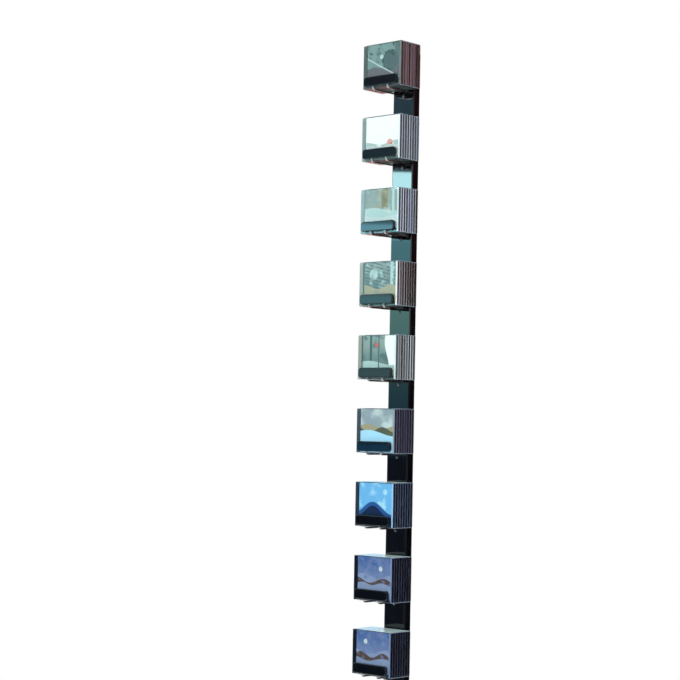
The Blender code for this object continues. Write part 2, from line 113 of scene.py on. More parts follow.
# Finishes of the faces of a shell, and of a booklet, in the order of their lists
CLEAR, CUT, LIT_TOP, INSIDE = range(4)
COVER_PRINT, PLAIN_PAPER = range(2)

CaseRoom = namedtuple("CaseRoom", "left right front back foot top")
# A cover's fade is painted shade: how dark its spines and cut edges grow at the back of the stack
Cover = namedtuple("Cover", "foot top hinge strip edge spine fade contrast motifs")

# Inks and plastics of the covers, as hex codes
INKS = {
    "white": "f4f7f7",
    "fog": "c7d6d4",
    "mist": "adc9c5",
    "silver": "909f9a",
    "ash": "868e8a",
    "haze": "799896",
    "dim_teal": "5d7876",
    "deep_teal": "365554",
    "slate": "52686b",
    "mauve": "696c73",
    "stone": "95a5ad",
    "blush": "e7aca7",
    "coral": "ca5446",
    "olive": "7e7b54",
    "beige": "a59f81",
    "moss": "5d6049",
    "umber": "5a4a44",
    "ice": "afe2fb",
    "sky": "72baec",
    "blue": "2d5b9c",
    "navy": "142b4e",
    "lavender": "6d7eab",
    "pale_lavender": "8c9dbf",
}

# Designs of the nine covers, from the top stack down, with the plastics and spines of their cases.
# A motif is its kind, its ink and the values that its kind takes. A band at 90 degrees and 0.0 that
# darkens a cover's foot is painted shade under the lip, not print.
COVERS = (
    Cover("mauve", "dim_teal", "526360", "70807d", "716a6c", "503c44", 1.0, 1.0, (
        ("disc", "haze", 0.22, 0.90, 0.62),
        ("cloud", "dim_teal", 4.0, 0.50, 0.66),
        ("disc", "slate", 0.72, 0.60, 0.24),
        ("cloud", "deep_teal", 7.0, 0.56, 0.66),
        ("hill", "mauve", 0.40, 0.07, 0.9, 0.3),
        ("band", "mist", 62.0, 0.62, 0.02),
        ("disc", "mist", 0.44, 0.70, 0.05),
    )),
    Cover("white", "white", "819998", "ecf1f2", "c0cdd7", "445b71", 0.75, 0.65, (
        ("hill", "mist", 0.37, 0.04, 1.1, 1.4),
        ("cloud", "white", 5.0, 0.52, 0.66),
        ("disc", "blush", 0.74, 0.37, 0.08),
        ("disc", "coral", 0.78, 0.33, 0.03),
        ("hill", "fog", 0.31, 0.02, 1.6, 0.2),
        # Painted shade under the lip along the cover's foot
        ("band", "haze", 90.0, 0.0, 0.10),
    )),
    Cover("silver", "silver", "91afb2", "cbe1e4", "cdd5e0", "465772", 0.6, 0.8, (
        ("cloud", "haze", 3.0, 0.42, 0.62),
        ("band", "olive", 0.0, 0.62, 0.17),
        ("band", "beige", 0.0, 0.46, 0.05),
        ("cloud", "beige", 5.0, 0.50, 0.74),
        ("band", "mist", 0.0, 0.88, 0.07),
        ("hill", "mist", 0.52, 0.05, 0.7, 0.6),
        ("cloud", "fog", 3.0, 0.52, 0.76),
        ("hill", "fog", 0.36, 0.03, 0.8, 2.0),
        # Painted shade under the lip along the cover's foot
        ("band", "deep_teal", 90.0, 0.0, 0.13),
    )),
    Cover("slate", "ash", "98a5a0", "e9f5f3", "b6afb4", "51464c", 0.05, 1.0, (
        ("cloud", "silver", 3.5, 0.46, 0.62),
        ("stripes", "slate", 76.0, 13.0, 0.30),
        ("band", "mist", 0.0, 0.88, 0.08),
        ("cloud", "mist", 6.0, 0.54, 0.70),
        ("disc", "mist", 0.32, 0.72, 0.12),
        ("hill", "beige", 0.42, 0.05, 1.3, 0.9),
        ("cloud", "ash", 5.0, 0.50, 0.72),
        # Painted shade under the lip along the cover's foot
        ("band", "deep_teal", 90.0, 0.0, 0.13),
        ("band", "deep_teal", 0.0, 0.0, 0.05),
    )),
    Cover("dim_teal", "silver", "939d95", "e2eceb", "d9dce0", "515964", 0.8, 0.65, (
        ("cloud", "slate", 3.0, 0.50, 0.62),
        ("bank", "white", 0.76, 0.07, 0.8, 0.4),
        ("band", "deep_teal", 0.0, 0.28, 0.06),
        ("disc", "coral", 0.46, 0.78, 0.045),
        ("hill", "mist", 0.36, 0.05, 0.7, 0.6),
        ("band", "deep_teal", 0.0, 0.52, 0.02),
        ("band", "deep_teal", 0.0, 0.0, 0.05),
        # Painted shade under the lip along the cover's foot
        ("band", "deep_teal", 90.0, 0.0, 0.13),
    )),
    Cover("stone", "stone", "414e58", "8a9aa6", "5f596e", "2d2740", 0.7, 0.8, (
        ("cloud", "fog", 2.5, 0.44, 0.64),
        ("hill", "beige", 0.60, 0.05, 1.0, 0.2),
        ("hill", "moss", 0.52, 0.06, 1.3, 2.4),
        ("hill", "ice", 0.44, 0.07, 0.6, 0.7),
    )),
    Cover("sky", "sky", "293645", "9fd3f5", "3e354c", "1e162f", 0.6, 0.45, (
        ("cloud", "ice", 3.0, 0.50, 0.66),
        ("hill", "blue", 0.42, 0.14, 0.85, 5.6),
        ("hill", "navy", 0.34, 0.13, 1.0, 5.2),
        ("disc", "ice", 0.80, 0.80, 0.06),
        # Painted shade under the lip along the cover's foot
        ("band", "navy", 90.0, 0.0, 0.12),
    )),
    Cover("pale_lavender", "blue", "0b1626", "7990ba", "2f2737", "0d0814", 0.2, 0.5, (
        ("cloud", "lavender", 2.2, 0.30, 0.80),
        ("cloud", "pale_lavender", 5.0, 0.46, 0.84),
        ("hill", "pale_lavender", 0.56, 0.05, 1.1, 0.4),
        ("cloud", "lavender", 4.0, 0.46, 0.78),
        ("hill", "umber", 0.46, 0.06, 1.2, 1.9),
        ("cloud", "lavender", 6.0, 0.50, 0.70),
        ("hill", "pale_lavender", 0.38, 0.03, 1.7, 0.0),
        ("disc", "fog", 0.70, 0.74, 0.05),
        # Painted shade under the lip along the cover's foot
        ("band", "navy", 90.0, 0.0, 0.12),
    )),
    Cover("pale_lavender", "blue", "0b1626", "7990ba", "2f2737", "0d0814", 0.2, 0.5, (
        ("cloud", "lavender", 2.6, 0.30, 0.80),
        ("cloud", "pale_lavender", 4.4, 0.46, 0.84),
        ("hill", "pale_lavender", 0.54, 0.06, 0.9, 2.6),
        ("cloud", "lavender", 4.6, 0.46, 0.78),
        ("hill", "umber", 0.46, 0.06, 1.5, 0.2),
        ("cloud", "lavender", 6.0, 0.50, 0.70),
        ("hill", "pale_lavender", 0.36, 0.04, 1.1, 2.2),
        ("disc", "fog", 0.28, 0.76, 0.05),
        # Painted shade under the lip along the cover's foot
        ("band", "navy", 90.0, 0.0, 0.12),
    )),
)
# Painted light: the pale cyan of every case top stands for light falling on it from above
LIT_TOP_TINT = "defbff"
TRAY_TINT = "181b1d"
RIM_TINT = "a6b3cc"
TRAY_SHADE = 0.75
PAGE_INK = "fog"

# How cases of one stack differ from one another
SPINE_LEVELS = (0.3, 0.6, 1.0, 2.1)
EDGE_LEVELS = (0.3, 0.7, 1.1, 1.9)
SPINE_WARMTH = (0.85, 1.15)


def length(label, note, value):
    """A length property in metres."""
    return FloatProperty(name=label, description=note, default=value, min=0.0, unit="LENGTH", precision=5)


def colour(label, note, value):
    """A linear colour property."""
    return FloatVectorProperty(
        name=label, description=note, default=value, min=0.0, max=1.0, size=3, subtype="COLOR"
    )


class ColumnSizes(PropertyGroup):
    """Sizes of the folded channel and its caps."""

    sheet: length("Sheet", "Thickness of the folded steel", 2.0 * MM)
    bend: length("Bend", "Outer radius of the two front bends", 3.5 * MM)
    bend_steps: IntProperty(name="Bend steps", description="Facets of each bend", default=10, min=2)
    hole: length("Hole", "Radius of the holes for wires and screws", 2.8 * MM)
    cap_round: length("Cap rounding", "Rounding of the caps' outer edge", 0.6 * MM)
    cap_plug: length("Cap plug", "How far a cap's plug enters the channel", 3.5 * MM)
    cap_plug_depth: length("Plug depth", "Depth of a cap's plug, from front to back", 19.0 * MM)
    cap_play: length("Cap play", "Gap round a cap's plug", 0.3 * MM)


class HolderSizes(PropertyGroup):
    """Sizes of a wire cradle, its lip and its screw."""

    wire: length("Wire", "Radius of the cradle's wire", 2.5 * MM)
    wire_bend: length("Wire bend", "Radius of the wire's bends at its centre", 5.5 * MM)
    wire_sides: IntProperty(name="Wire sides", description="Facets round the wire", default=20, min=6)
    lip_corner: length("Lip corner", "Radius of the lip's four corners", 9.0 * MM)
    lip_front: length("Lip front", "Rounding of the lip's front edge", 2.5 * MM)
    lip_wall: length("Lip wall", "Thickness of the lip's front wall", 1.1 * MM)
    lip_rim: length("Lip rim", "Thickness of the lip's rim", 2.0 * MM)
    lip_rib: length("Lip rib", "Thickness of the ribs inside the lip", 2.0 * MM)
    lip_rib_spacing: length("Rib spacing", "Distance between the ribs inside the lip", 16.0 * MM)
    wire_room: length("Wire room", "Half width of the lip's slots for the wire", 2.8 * MM)
    head: length("Screw head", "Height of the screw's dome head", 2.4 * MM)
    shank: length("Screw shank", "Radius of the screw's shank", 2.5 * MM)
    socket: length("Socket", "Width across the flats of the hexagon socket", 3.2 * MM)
    socket_depth: length("Socket depth", "Depth of the hexagon socket", 1.5 * MM)


class CaseSizes(PropertyGroup):
    """Sizes of a jewel case and of the paper in it."""

    skin: length("Skin", "Thickness of the clear walls", 1.2 * MM)
    lid_rim: length("Lid rim", "Depth of the lid's top and bottom flanges", 6.6 * MM)
    edge: length("Edge", "Rounding of the clear edges", 0.22 * MM)
    play: length("Play", "Gap between the parts of a case", 0.2 * MM)
    hinge_arm: length("Hinge arm", "Depth of the lid's two hinge arms", 4.2 * MM)
    hinge_strip: length("Hinge strip", "Width of the ribbed strip beside the lid", 14.25 * MM)
    ribs: IntProperty(name="Ribs", description="Ribs on the hinge strip", default=5, min=0)
    rib_pitch: length("Rib pitch", "Distance between the ribs", 2.3 * MM)
    rib_width: length("Rib width", "Width of a rib", 1.4 * MM)
    rib_end: length("Rib end", "Distance of the ribs from the ends of the strip", 8.0 * MM)
    booklet: length("Booklet", "Width and height of the booklet", 120.5 * MM)
    paper: length("Paper", "Thickness of the booklet", 1.4 * MM)
    tray: length("Tray", "Distance of the tray from the front of the case", 4.0 * MM)


class RackFinishes(PropertyGroup):
    """Plain colours of the rack's own finishes."""

    lacquer: colour("Lacquer", "Gloss black of the channel", (0.0022, 0.0027, 0.0040))
    lacquer_worn: colour("Lacquer, handled", "The same black where it is dusty", (0.0046, 0.0054, 0.0066))
    moulding: colour("Moulding", "Black of the lips and caps", (0.0020, 0.0027, 0.0046))
    moulding_worn: colour("Moulding, handled", "The same black where hands rub it", (0.0036, 0.0045, 0.0068))
    wire: colour("Wire", "Dark coating of the cradles", (0.120, 0.124, 0.130))
    wire_worn: colour("Wire, rubbed", "The coating where the lip rubs it", (0.300, 0.306, 0.312))
    # Lighter bare steel at the front bends: rubbed wear, and a painted highlight on the bends
    bend_wear_and_sheen: colour("Wire, bare", "Steel of the wire at the rubbed bends", (0.620, 0.630, 0.640))
    screw: colour("Screw", "Black oxide of the screws", (0.180, 0.185, 0.190))
    screw_worn: colour("Screw, rubbed", "Steel showing through on the screws", (0.420, 0.425, 0.430))
    zinc: colour("Zinc", "Plated steel of the hangers and clamps", (0.42, 0.43, 0.44))
    zinc_dull: colour("Zinc, dull", "The duller crystals of the plating", (0.30, 0.31, 0.33))
    styrene: colour("Styrene", "Clear plastic of the cases", (0.93, 0.97, 0.97))


class StudioSizes(PropertyGroup):
    """Sizes and colours of the studio."""

    floor_drop: length("Floor drop", "Distance of the floor below the rack", 0.55)
    floor_radius: length("Floor radius", "Radius of the floor", 3.0)
    floor: colour("Floor", "Pale floor", (0.80, 0.80, 0.79))
    ambient: FloatProperty(name="Ambient", description="Strength of the light from all round", default=0.90)
    key: FloatProperty(name="Key light", description="Power of the front light", default=46.0, unit="POWER")
    fill: FloatProperty(name="Fill light", description="Power of the side light", default=12.4, unit="POWER")


def ink(code):
    """Linear colour of a hex code."""
    steps = [int(code[place:place + 2], 16) / 255 for place in (0, 2, 4)]
    return tuple(((step + 0.055) / 1.055) ** 2.4 for step in steps)


# Mesh helpers


def edges_at(verts):
    """The edges that meet at some vertices."""
    return list({edge for vert in verts for edge in vert.link_edges})


def add_box(bm, low, high):
    """Add a box between two corners and return its edges."""
    low, high = Vector(low), Vector(high)
    place = Matrix.Translation((low + high) / 2) @ Matrix.Diagonal((*(high - low), 1.0))
    verts = bmesh.ops.create_cube(bm, size=1.0, matrix=place)["verts"]
    return edges_at(verts)


def add_rod(bm, centre, radius, reach, sides):
    """Add a closed cylinder along Y."""
    place = Matrix.Translation(centre) @ TO_FRONT
    bmesh.ops.create_cone(
        bm, cap_ends=True, segments=sides, radius1=radius, radius2=radius, depth=reach, matrix=place
    )


def add_prism(bm, outline, travel):
    """Fill a closed outline, push it along a straight line and return its edges."""
    face = bm.faces.new([bm.verts.new(point) for point in outline])
    far = verts_of(bmesh.ops.extrude_face_region(bm, geom=[face])["geom"])
    bmesh.ops.translate(bm, verts=far, vec=travel)
    return edges_at((*far, *face.verts))


def bevel(bm, geom, width, steps, affect="EDGES"):
    """Round edges, or the corners of an outline."""
    bmesh.ops.bevel(
        bm,
        geom=geom,
        offset=width,
        segments=steps,
        profile=0.5,
        affect=affect,
        material=-1,
        clamp_overlap=True,
    )


def face_out(bm):
    """Turn all faces outwards."""
    bmesh.ops.recalc_face_normals(bm, faces=bm.faces[:])


def end_face(bm, axis, side):
    """The face that lies furthest along an axis, 0, 1 or 2, to one side of it."""
    bm.normal_update()
    return max(bm.faces, key=lambda face: side * face.calc_center_median()[axis])


def along(edges, axis):
    """Pick the edges that run along one axis: 0, 1 or 2."""
    picked = []
    for edge in edges:
        run = edge.verts[1].co - edge.verts[0].co
        if abs(run[axis]) > 0.99 * run.length:
            picked.append(edge)
    return picked


def verts_of(geom):
    """Pick the vertices out of an operator's result."""
    return [item for item in geom if isinstance(item, bmesh.types.BMVert)]


def edges_of(geom):
    """Pick the edges out of an operator's result."""
    return [item for item in geom if isinstance(item, bmesh.types.BMEdge)]


def mesh_from(bm, name):
    """Close a bmesh and return its mesh."""
    mesh = bpy.data.meshes.new(name)
    bm.to_mesh(mesh)
    bm.free()
    return mesh


def put(name, data):
    """Put new data in the scene as an object."""
    item = bpy.data.objects.new(name, data)
    bpy.context.scene.collection.objects.link(item)
    return item


def carve(bm, cutter):
    """Cut a closed shape out of another and return what is left."""
    solid = put("solid", mesh_from(bm, "solid"))
    tool = put("tool", mesh_from(cutter, "tool"))
    cut = solid.modifiers.new("cut", "BOOLEAN")
    cut.operation = "DIFFERENCE"
    cut.solver = "EXACT"
    cut.object = tool
    bpy.context.view_layer.update()
    graph = bpy.context.evaluated_depsgraph_get()
    mesh = bpy.data.meshes.new_from_object(solid.evaluated_get(graph), depsgraph=graph)
    left = bmesh.new()
    left.from_mesh(mesh)
    bmesh.ops.remove_doubles(left, verts=left.verts[:], dist=FINE_WELD)
    for helper in (solid, tool):
        bpy.data.objects.remove(helper, do_unlink=True)
    bpy.data.meshes.remove(mesh)
    if not left.faces:
        raise RuntimeError("a cut left nothing")
    return left


def shade(mesh, angle=CREASE):
    """Shade rounded faces smooth and keep hard edges."""
    mesh.shade_smooth()
    mesh.set_sharp_from_angle(angle=math.radians(angle))


def dye(bm, faces, hue, finish=0):
    """Give faces a tint and a finish."""
    layer = bm.loops.layers.float_color.get(TINT) or bm.loops.layers.float_color.new(TINT)
    for face in faces:
        face.material_index = finish
        for loop in face.loops:
            loop[layer] = (*hue, 1.0)


def bay_drop(bay):
    """How far a stack stands below the top one."""
    return Vector((0.0, 0.0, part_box(f"front_case_{bay}")[0].z - CASE_LOW.z))


def set_piece(name, mesh, finishes, body, node, even=False):
    """Put a finished mesh in the scene, on its body and in the place of its node."""
    for finish in finishes:
        mesh.materials.append(finish)
    piece = put(name, mesh)
    if even:
        flat = piece.modifiers.new("flat_faces", "WEIGHTED_NORMAL")
        flat.keep_sharp = True
    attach(piece, body)
    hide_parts(node)


def set_holders(shape, label, node, finish, angle=CREASE, even=False):
    """Set a copy of one piece of the top holder in every bay."""
    master = mesh_from(shape, label)
    shade(master, angle)
    for bay in BAYS:
        name = f"{label}_{bay}"
        mesh = master.copy()
        mesh.name = name
        mesh.transform(Matrix.Translation(bay_drop(bay)))
        set_piece(name, mesh, [finish], "rack", f"{node}_{bay}", even)


# Finishes


class Nodes:
    """A node tree in the making."""

    def __init__(self, tree):
        self.tree = tree

    def set(self, node, socket, value):
        """Link a socket to another, or give it a number or colour."""
        place = node.inputs[socket]
        if isinstance(value, bpy.types.NodeSocket):
            self.tree.links.new(value, place)
        elif isinstance(place.default_value, (int, float)):
            place.default_value = value
        else:
            place.default_value = (*value, 1.0)[:len(place.default_value)]

    def node(self, kind, sockets=(), **choices):
        """Add a node."""
        node = self.tree.nodes.new("ShaderNode" + kind)
        for choice, value in choices.items():
            setattr(node, choice, value)
        for socket, value in dict(sockets).items():
            self.set(node, socket, value)
        return node

    def math(self, operation, first, second=0.0):
        """Work out one number."""
        return self.node("Math", {0: first, 1: second}, operation=operation).outputs[0]


class Finish(Nodes):
    """A node material in the making."""

    def __init__(self, name, sockets=()):
        self.material = bpy.data.materials.new(name)
        self.material.use_nodes = True
        super().__init__(self.material.node_tree)
        self.shader = self.tree.nodes["Principled BSDF"]
        self.dress(sockets)

    def dress(self, sockets):
        """Set sockets of the shader."""
        for socket, value in dict(sockets).items():
            self.set(self.shader, socket, value)

    def show(self, surface):
        """Put another surface in the place of the shader."""
        self.tree.nodes.remove(self.shader)
        self.set(self.tree.nodes["Material Output"], "Surface", surface)

    def place(self):
        """Object coordinates."""
        return self.node("TexCoord").outputs["Object"]

    def split(self, vector):
        """The parts X, Y and Z of a place."""
        return self.node("SeparateXYZ", {"Vector": vector}).outputs

    def measure(self, operation, first, second=(0.0, 0.0, 0.0)):
        """Work out a vector, or a length or distance."""
        node = self.node("VectorMath", {0: first, 1: second}, operation=operation)
        return next(socket for socket in node.outputs if socket.enabled)

    def grain(self, scale, detail, stretch=None):
        """Noise over the piece, drawn out along an axis if asked."""
        place = self.place()
        if stretch:
            place = self.node("Mapping", {"Vector": place, "Scale": stretch}).outputs["Vector"]
        noise = self.node("TexNoise", {"Vector": place, "Scale": scale, "Detail": detail})
        return noise.outputs["Fac"]

    def remap(self, value, low=0.0, high=1.0, start=0.0, end=1.0, soft=False):
        """Move a value from one range to another."""
        step = "SMOOTHSTEP" if soft else "LINEAR"
        sockets = {"Value": value, "From Min": start, "From Max": end, "To Min": low, "To Max": high}
        return self.node("MapRange", sockets, interpolation_type=step).outputs["Result"]

    def mask(self, value, start, end):
        """A soft step, from 0 at one value to 1 at another."""
        return self.remap(value, start=start, end=end, soft=True)

    def blend(self, share, first, second, mode="MIX"):
        """Mix two colours."""
        node = self.node("Mix", data_type="RGBA", blend_type=mode)
        inputs = [socket for socket in node.inputs if socket.enabled]
        for socket, value in zip(inputs, (share, first, second)):
            if isinstance(value, bpy.types.NodeSocket):
                self.tree.links.new(value, socket)
            elif socket.type == "RGBA":
                socket.default_value = (*value, 1.0)
            else:
                socket.default_value = value
        return next(socket for socket in node.outputs if socket.enabled)

    def levelled(self, hue, level):
        """A colour made darker or lighter by a level."""
        grey = self.node("CombineColor", {"Red": level, "Green": level, "Blue": level})
        return self.blend(1.0, hue, grey.outputs["Color"], "MULTIPLY")

    def bump(self, height, strength, depth=HAIR):
        """Raise the surface by a height."""
        sockets = {"Height": height, "Strength": strength, "Distance": depth}
        normal = self.node("Bump", sockets).outputs["Normal"]
        self.set(self.shader, "Normal", normal)
        return normal


def lacquer_finish(tones):
    """Gloss black lacquer with faint orange peel and a film of dust."""
    finish = Finish("column_lacquer_gloss", {"Coat Weight": 1.0, "Coat Roughness": 0.008})
    dust = finish.grain(scale=26.0, detail=6.0)
    film = finish.remap(dust, start=0.42, end=0.75)
    peel = finish.grain(scale=90.0, detail=1.0)
    finish.dress({
        "Base Color": finish.blend(film, tones.lacquer, tones.lacquer_worn),
        "Roughness": finish.remap(dust, low=0.02, high=0.06),
        "Coat Normal": finish.bump(peel, strength=0.02, depth=2 * HAIR),
    })
    return finish.material


def moulded_finish(name, tones, gloss):
    """Black moulded plastic with a fine spark-eroded grain, rubbed in places."""
    bare = 0.5 * (1.0 - gloss)
    finish = Finish(name, {"Coat Weight": gloss, "Coat Roughness": 0.03, "Specular IOR Level": bare})
    rub = finish.remap(finish.grain(scale=48.0, detail=5.0), start=0.48, end=0.72)
    finish.dress({
        "Base Color": finish.blend(rub, tones.moulding, tones.moulding_worn),
        "Roughness": finish.remap(rub, low=0.34, high=0.46),
    })
    finish.bump(finish.grain(scale=1500.0, detail=2.0), strength=0.06)
    return finish.material


def wire_finish(tones, sizes):
    """Dark coating on wire, rubbed thin in places, and lighter bare steel at the front bends under the lip,
    which is rubbed wear and a painted highlight.
    """
    finish = Finish("wire_coating", {"Metallic": 0.9, "Coat Weight": 1.0, "Coat Roughness": 0.04})
    drawn = finish.grain(scale=120.0, detail=4.0, stretch=(1.0, 0.25, 1.0))
    rub = finish.remap(drawn, start=0.50, end=0.75)
    coated = finish.blend(rub, tones.wire, tones.wire_worn)
    bend = WIRE_LOW.y + sizes.wire + sizes.wire_bend
    # Painted highlight: the front bends under the lip turn to lighter bare steel
    bare = finish.mask(finish.split(finish.place())["Y"], start=bend + sizes.wire_bend, end=bend)
    finish.dress({
        "Base Color": finish.blend(bare, coated, tones.bend_wear_and_sheen),
        "Roughness": finish.remap(rub, low=0.16, high=0.30),
    })
    finish.bump(finish.grain(scale=700.0, detail=2.0), strength=0.04)
    return finish.material


def screw_finish(tones):
    """Black oxide with steel showing at the rubbed spots."""
    finish = Finish("screw_oxide", {"Metallic": 0.9})
    rub = finish.remap(finish.grain(scale=420.0, detail=4.0), start=0.50, end=0.70)
    finish.dress({
        "Base Color": finish.blend(rub, tones.screw, tones.screw_worn),
        "Roughness": finish.remap(rub, low=0.26, high=0.18),
    })
    return finish.material


def zinc_finish(tones):
    """Zinc plate with its crystals and a lengthwise brushing."""
    finish = Finish("zinc_plate", {"Metallic": 1.0})
    cells = finish.node("TexVoronoi", {"Vector": finish.place(), "Scale": 160.0})
    crystal = finish.node("SeparateColor", {"Color": cells.outputs["Color"]}).outputs["Red"]
    brushed = finish.grain(scale=300.0, detail=3.0, stretch=(1.0, 1.0, 0.05))
    finish.dress({
        "Base Color": finish.blend(crystal, tones.zinc_dull, tones.zinc),
        "Roughness": finish.remap(brushed, low=0.26, high=0.46),
    })
    finish.bump(brushed, strength=0.05)
    return finish.material


def styrene_finish(tones):
    """Clear styrene: thin enough to show straight through, under a faintly wavy gloss."""
    sockets = {
        "Base Color": tones.styrene,
        "Transmission Weight": 1.0,
        "IOR": 1.0,
        "Roughness": 0.0,
        "Coat Weight": 1.0,
        "Coat IOR": 1.6,
        "Coat Roughness": 0.025,
    }
    finish = Finish("clear_styrene", sockets)
    wave = finish.grain(scale=22.0, detail=2.0)
    scuff = finish.grain(scale=420.0, detail=4.0, stretch=(1.0, 1.0, 0.2))
    height = finish.math("ADD", wave, finish.math("MULTIPLY", scuff, 0.04))
    finish.dress({"Coat Normal": finish.bump(height, strength=0.06, depth=MM)})
    return finish.material


def inside_finish(tones):
    """The inner faces of clear styrene, which the outer faces' gloss speaks for."""
    finish = Finish("clear_inside", {"Transmission Weight": 1.0, "IOR": 1.0, "Roughness": 0.0})
    haze = finish.remap(finish.grain(scale=140.0, detail=4.0), start=0.35, end=0.75)
    faint = [0.98 * part for part in tones.styrene]
    finish.dress({"Base Color": finish.blend(haze, tones.styrene, faint)})
    return finish.material


def tinted_finish(name, sockets, scale, contrast, strength):
    """A plastic, paper or cut edge that takes its colour from the tint of its faces."""
    finish = Finish(name, sockets)
    tint = finish.node("VertexColor", layer_name=TINT).outputs["Color"]
    grain = finish.grain(scale, detail=4.0)
    level = finish.remap(grain, 1.0 - contrast, 1.0 + contrast)
    finish.dress({"Base Color": finish.levelled(tint, level)})
    finish.bump(grain, strength)
    return finish.material


class CoverPrint(Finish):
    """A booklet's printed front: flat motifs laid over one another on its own square."""

    softness = 0.012
    stripe_softness = 0.08
    ground = 0.25

    def __init__(self, name, cover):
        super().__init__(name, {"Roughness": 0.32, "Specular IOR Level": 0.05})
        self.square = self.node("UVMap", uv_map=PRINT_UV).outputs["UV"]
        parts = self.split(self.square)
        self.across, self.up = parts["X"], parts["Y"]
        rise = self.mask(self.up, self.ground, 1.0)
        picture = self.blend(rise, ink(INKS[cover.foot]), ink(INKS[cover.top]))
        for kind, hue, *shape in cover.motifs:
            mask = getattr(self, kind)(*shape)
            picture = self.blend(mask, picture, ink(INKS[hue]))
        mottle = self.remap(self.grain(scale=60.0, detail=5.0), low=0.92, high=1.03)
        self.dress({"Base Color": self.levelled(picture, mottle)})
        self.bump(self.grain(scale=900.0, detail=2.0), strength=0.03)

    def disc(self, across, up, radius):
        """A filled circle."""
        reach = self.measure("DISTANCE", self.square, (across, up, 0.0))
        return self.mask(reach, radius + self.softness, radius)

    def lean(self, angle):
        """Distance along a slanting line, 0 at the foot's left corner."""
        turn = math.radians(angle)
        first = self.math("MULTIPLY", self.across, math.cos(turn))
        second = self.math("MULTIPLY", self.up, math.sin(turn))
        return self.math("ADD", first, second)

    def band(self, angle, place, width):
        """One straight stripe."""
        off = self.math("ABSOLUTE", self.math("SUBTRACT", self.lean(angle), place))
        return self.mask(off, width / 2 + self.softness, width / 2)

    def stripes(self, angle, count, share):
        """Stripes all over."""
        turn = self.math("FRACT", self.math("MULTIPLY", self.lean(angle), count))
        off = self.math("ABSOLUTE", self.math("SUBTRACT", turn, 0.5))
        return self.mask(off, share / 2 + self.stripe_softness, share / 2)

    def past_wave(self, run, rise, level, height, waves, start):
        """Distance beyond a waving line that runs along one side of the square."""
        turn = self.math("ADD", self.math("MULTIPLY", run, waves * math.tau), start)
        swing = self.math("MULTIPLY", self.math("SINE", turn), height)
        return self.math("SUBTRACT", self.math("SUBTRACT", rise, swing), level)

    def hill(self, *wave):
        """All that lies under a waving line: its level, height, waves and start."""
        return self.mask(self.past_wave(self.across, self.up, *wave), self.softness, 0.0)

    def bank(self, *wave):
        """All that lies to the right of a waving line: its level, height, waves and start."""
        return self.mask(self.past_wave(self.up, self.across, *wave), 0.0, 2 * self.softness)

    def cloud(self, scale, start, end):
        """Soft blotches."""
        sockets = {"Vector": self.square, "Scale": scale, "Detail": 5.0}
        return self.mask(self.node("TexNoise", sockets).outputs["Fac"], start, end)


def case_finishes(context):
    """The finishes of all cases, made once."""
    ready = bpy.data.materials.get("clear_styrene")
    if ready:
        names = ("clear_styrene", "cut_edge", "lit_top_paint", "clear_inside", "tray_plastic", "paper_print")
        return [bpy.data.materials[name] for name in names]
    tones = context.scene.cd_rack_finishes
    cut = {"Roughness": 0.22, "Specular IOR Level": 0.3}
    top = {"Roughness": 0.20, "IOR": 1.57}
    tray = {"Roughness": 0.30, "Specular IOR Level": 0.2}
    paper = {"Roughness": 0.38, "Specular IOR Level": 0.05}
    return [
        styrene_finish(tones),
        tinted_finish("cut_edge", cut, scale=240.0, contrast=0.25, strength=0.05),
        tinted_finish("lit_top_paint", top, scale=240.0, contrast=0.25, strength=0.05),
        inside_finish(tones),
        tinted_finish("tray_plastic", tray, scale=90.0, contrast=0.12, strength=0.04),
        tinted_finish("paper_print", paper, scale=55.0, contrast=0.20, strength=0.02),
    ]


# Jewel cases


def case_room(place):
    """The space of one case of the top stack, counted from the front."""
    front = CASE_LOW.y + place * CASE_STEP
    return CaseRoom(CASE_LOW.x, CASE_HIGH.x, front, front + CASE_DEPTH, CASE_LOW.z, CASE_HIGH.z)


def new_faces(bm, old):
    """The faces made since a set of faces was taken."""
    return [face for face in bm.faces if face not in old]


def facing_front(faces):
    """Pick the faces that look to the front."""
    return [face for face in faces if face.normal.y < -0.5]


def room_distance(point, room):
    """How far inside its space a point of a case lies."""
    return min(
        point.x - room.left, room.right - point.x, point.y - room.front,
        room.back - point.y, point.z - room.foot, room.top - point.z,
    )


def slit(bm, old, place, normal):
    """Split all faces made since a set of faces was taken along a plane."""
    faces = new_faces(bm, old)
    edges = {edge for face in faces for edge in face.edges}
    verts = {vert for face in faces for vert in face.verts}
    bmesh.ops.bisect_plane(bm, geom=[*faces, *edges, *verts], plane_co=place, plane_no=normal)


def cut_ends(bm, faces, room, deepest):
    """Pick the narrow cut edges on the two sides of a clear part."""
    bm.normal_update()
    ends = []
    for face in faces:
        middle = face.calc_center_median()
        outer = min(abs(middle.x - room.left), abs(middle.x - room.right)) < HAIR
        if abs(face.normal.x) > SQUARE_ON and outer and middle.y > deepest:
            ends.append(face)
    return ends


def add_lid(bm, room, sizes, steps):
    """Mould the clear lid: a plate with a flange above and below, and two hinge arms."""
    hinge = room.left + sizes.hinge_strip
    rim = room.front + sizes.lid_rim
    inner = room.front + sizes.skin
    foot, top = room.foot + sizes.skin, room.top - sizes.skin
    section = [
        (room.front, room.foot), (rim, room.foot), (rim, foot), (inner, foot),
        (inner, top), (rim, top), (rim, room.top), (room.front, room.top),
    ]
    outline = [(hinge, y, z) for y, z in section]
    edges = add_prism(bm, outline, (room.right - hinge, 0.0, 0.0))
    bevel(bm, edges, sizes.edge, steps)
    arm_front = rim - sizes.hinge_arm
    for low, high in ((room.foot, foot), (top, room.top)):
        edges = add_box(
            bm,
            (room.left + sizes.skin, arm_front, low),
            (hinge - sizes.play, rim, high),
        )
        bevel(bm, edges, sizes.edge, steps)


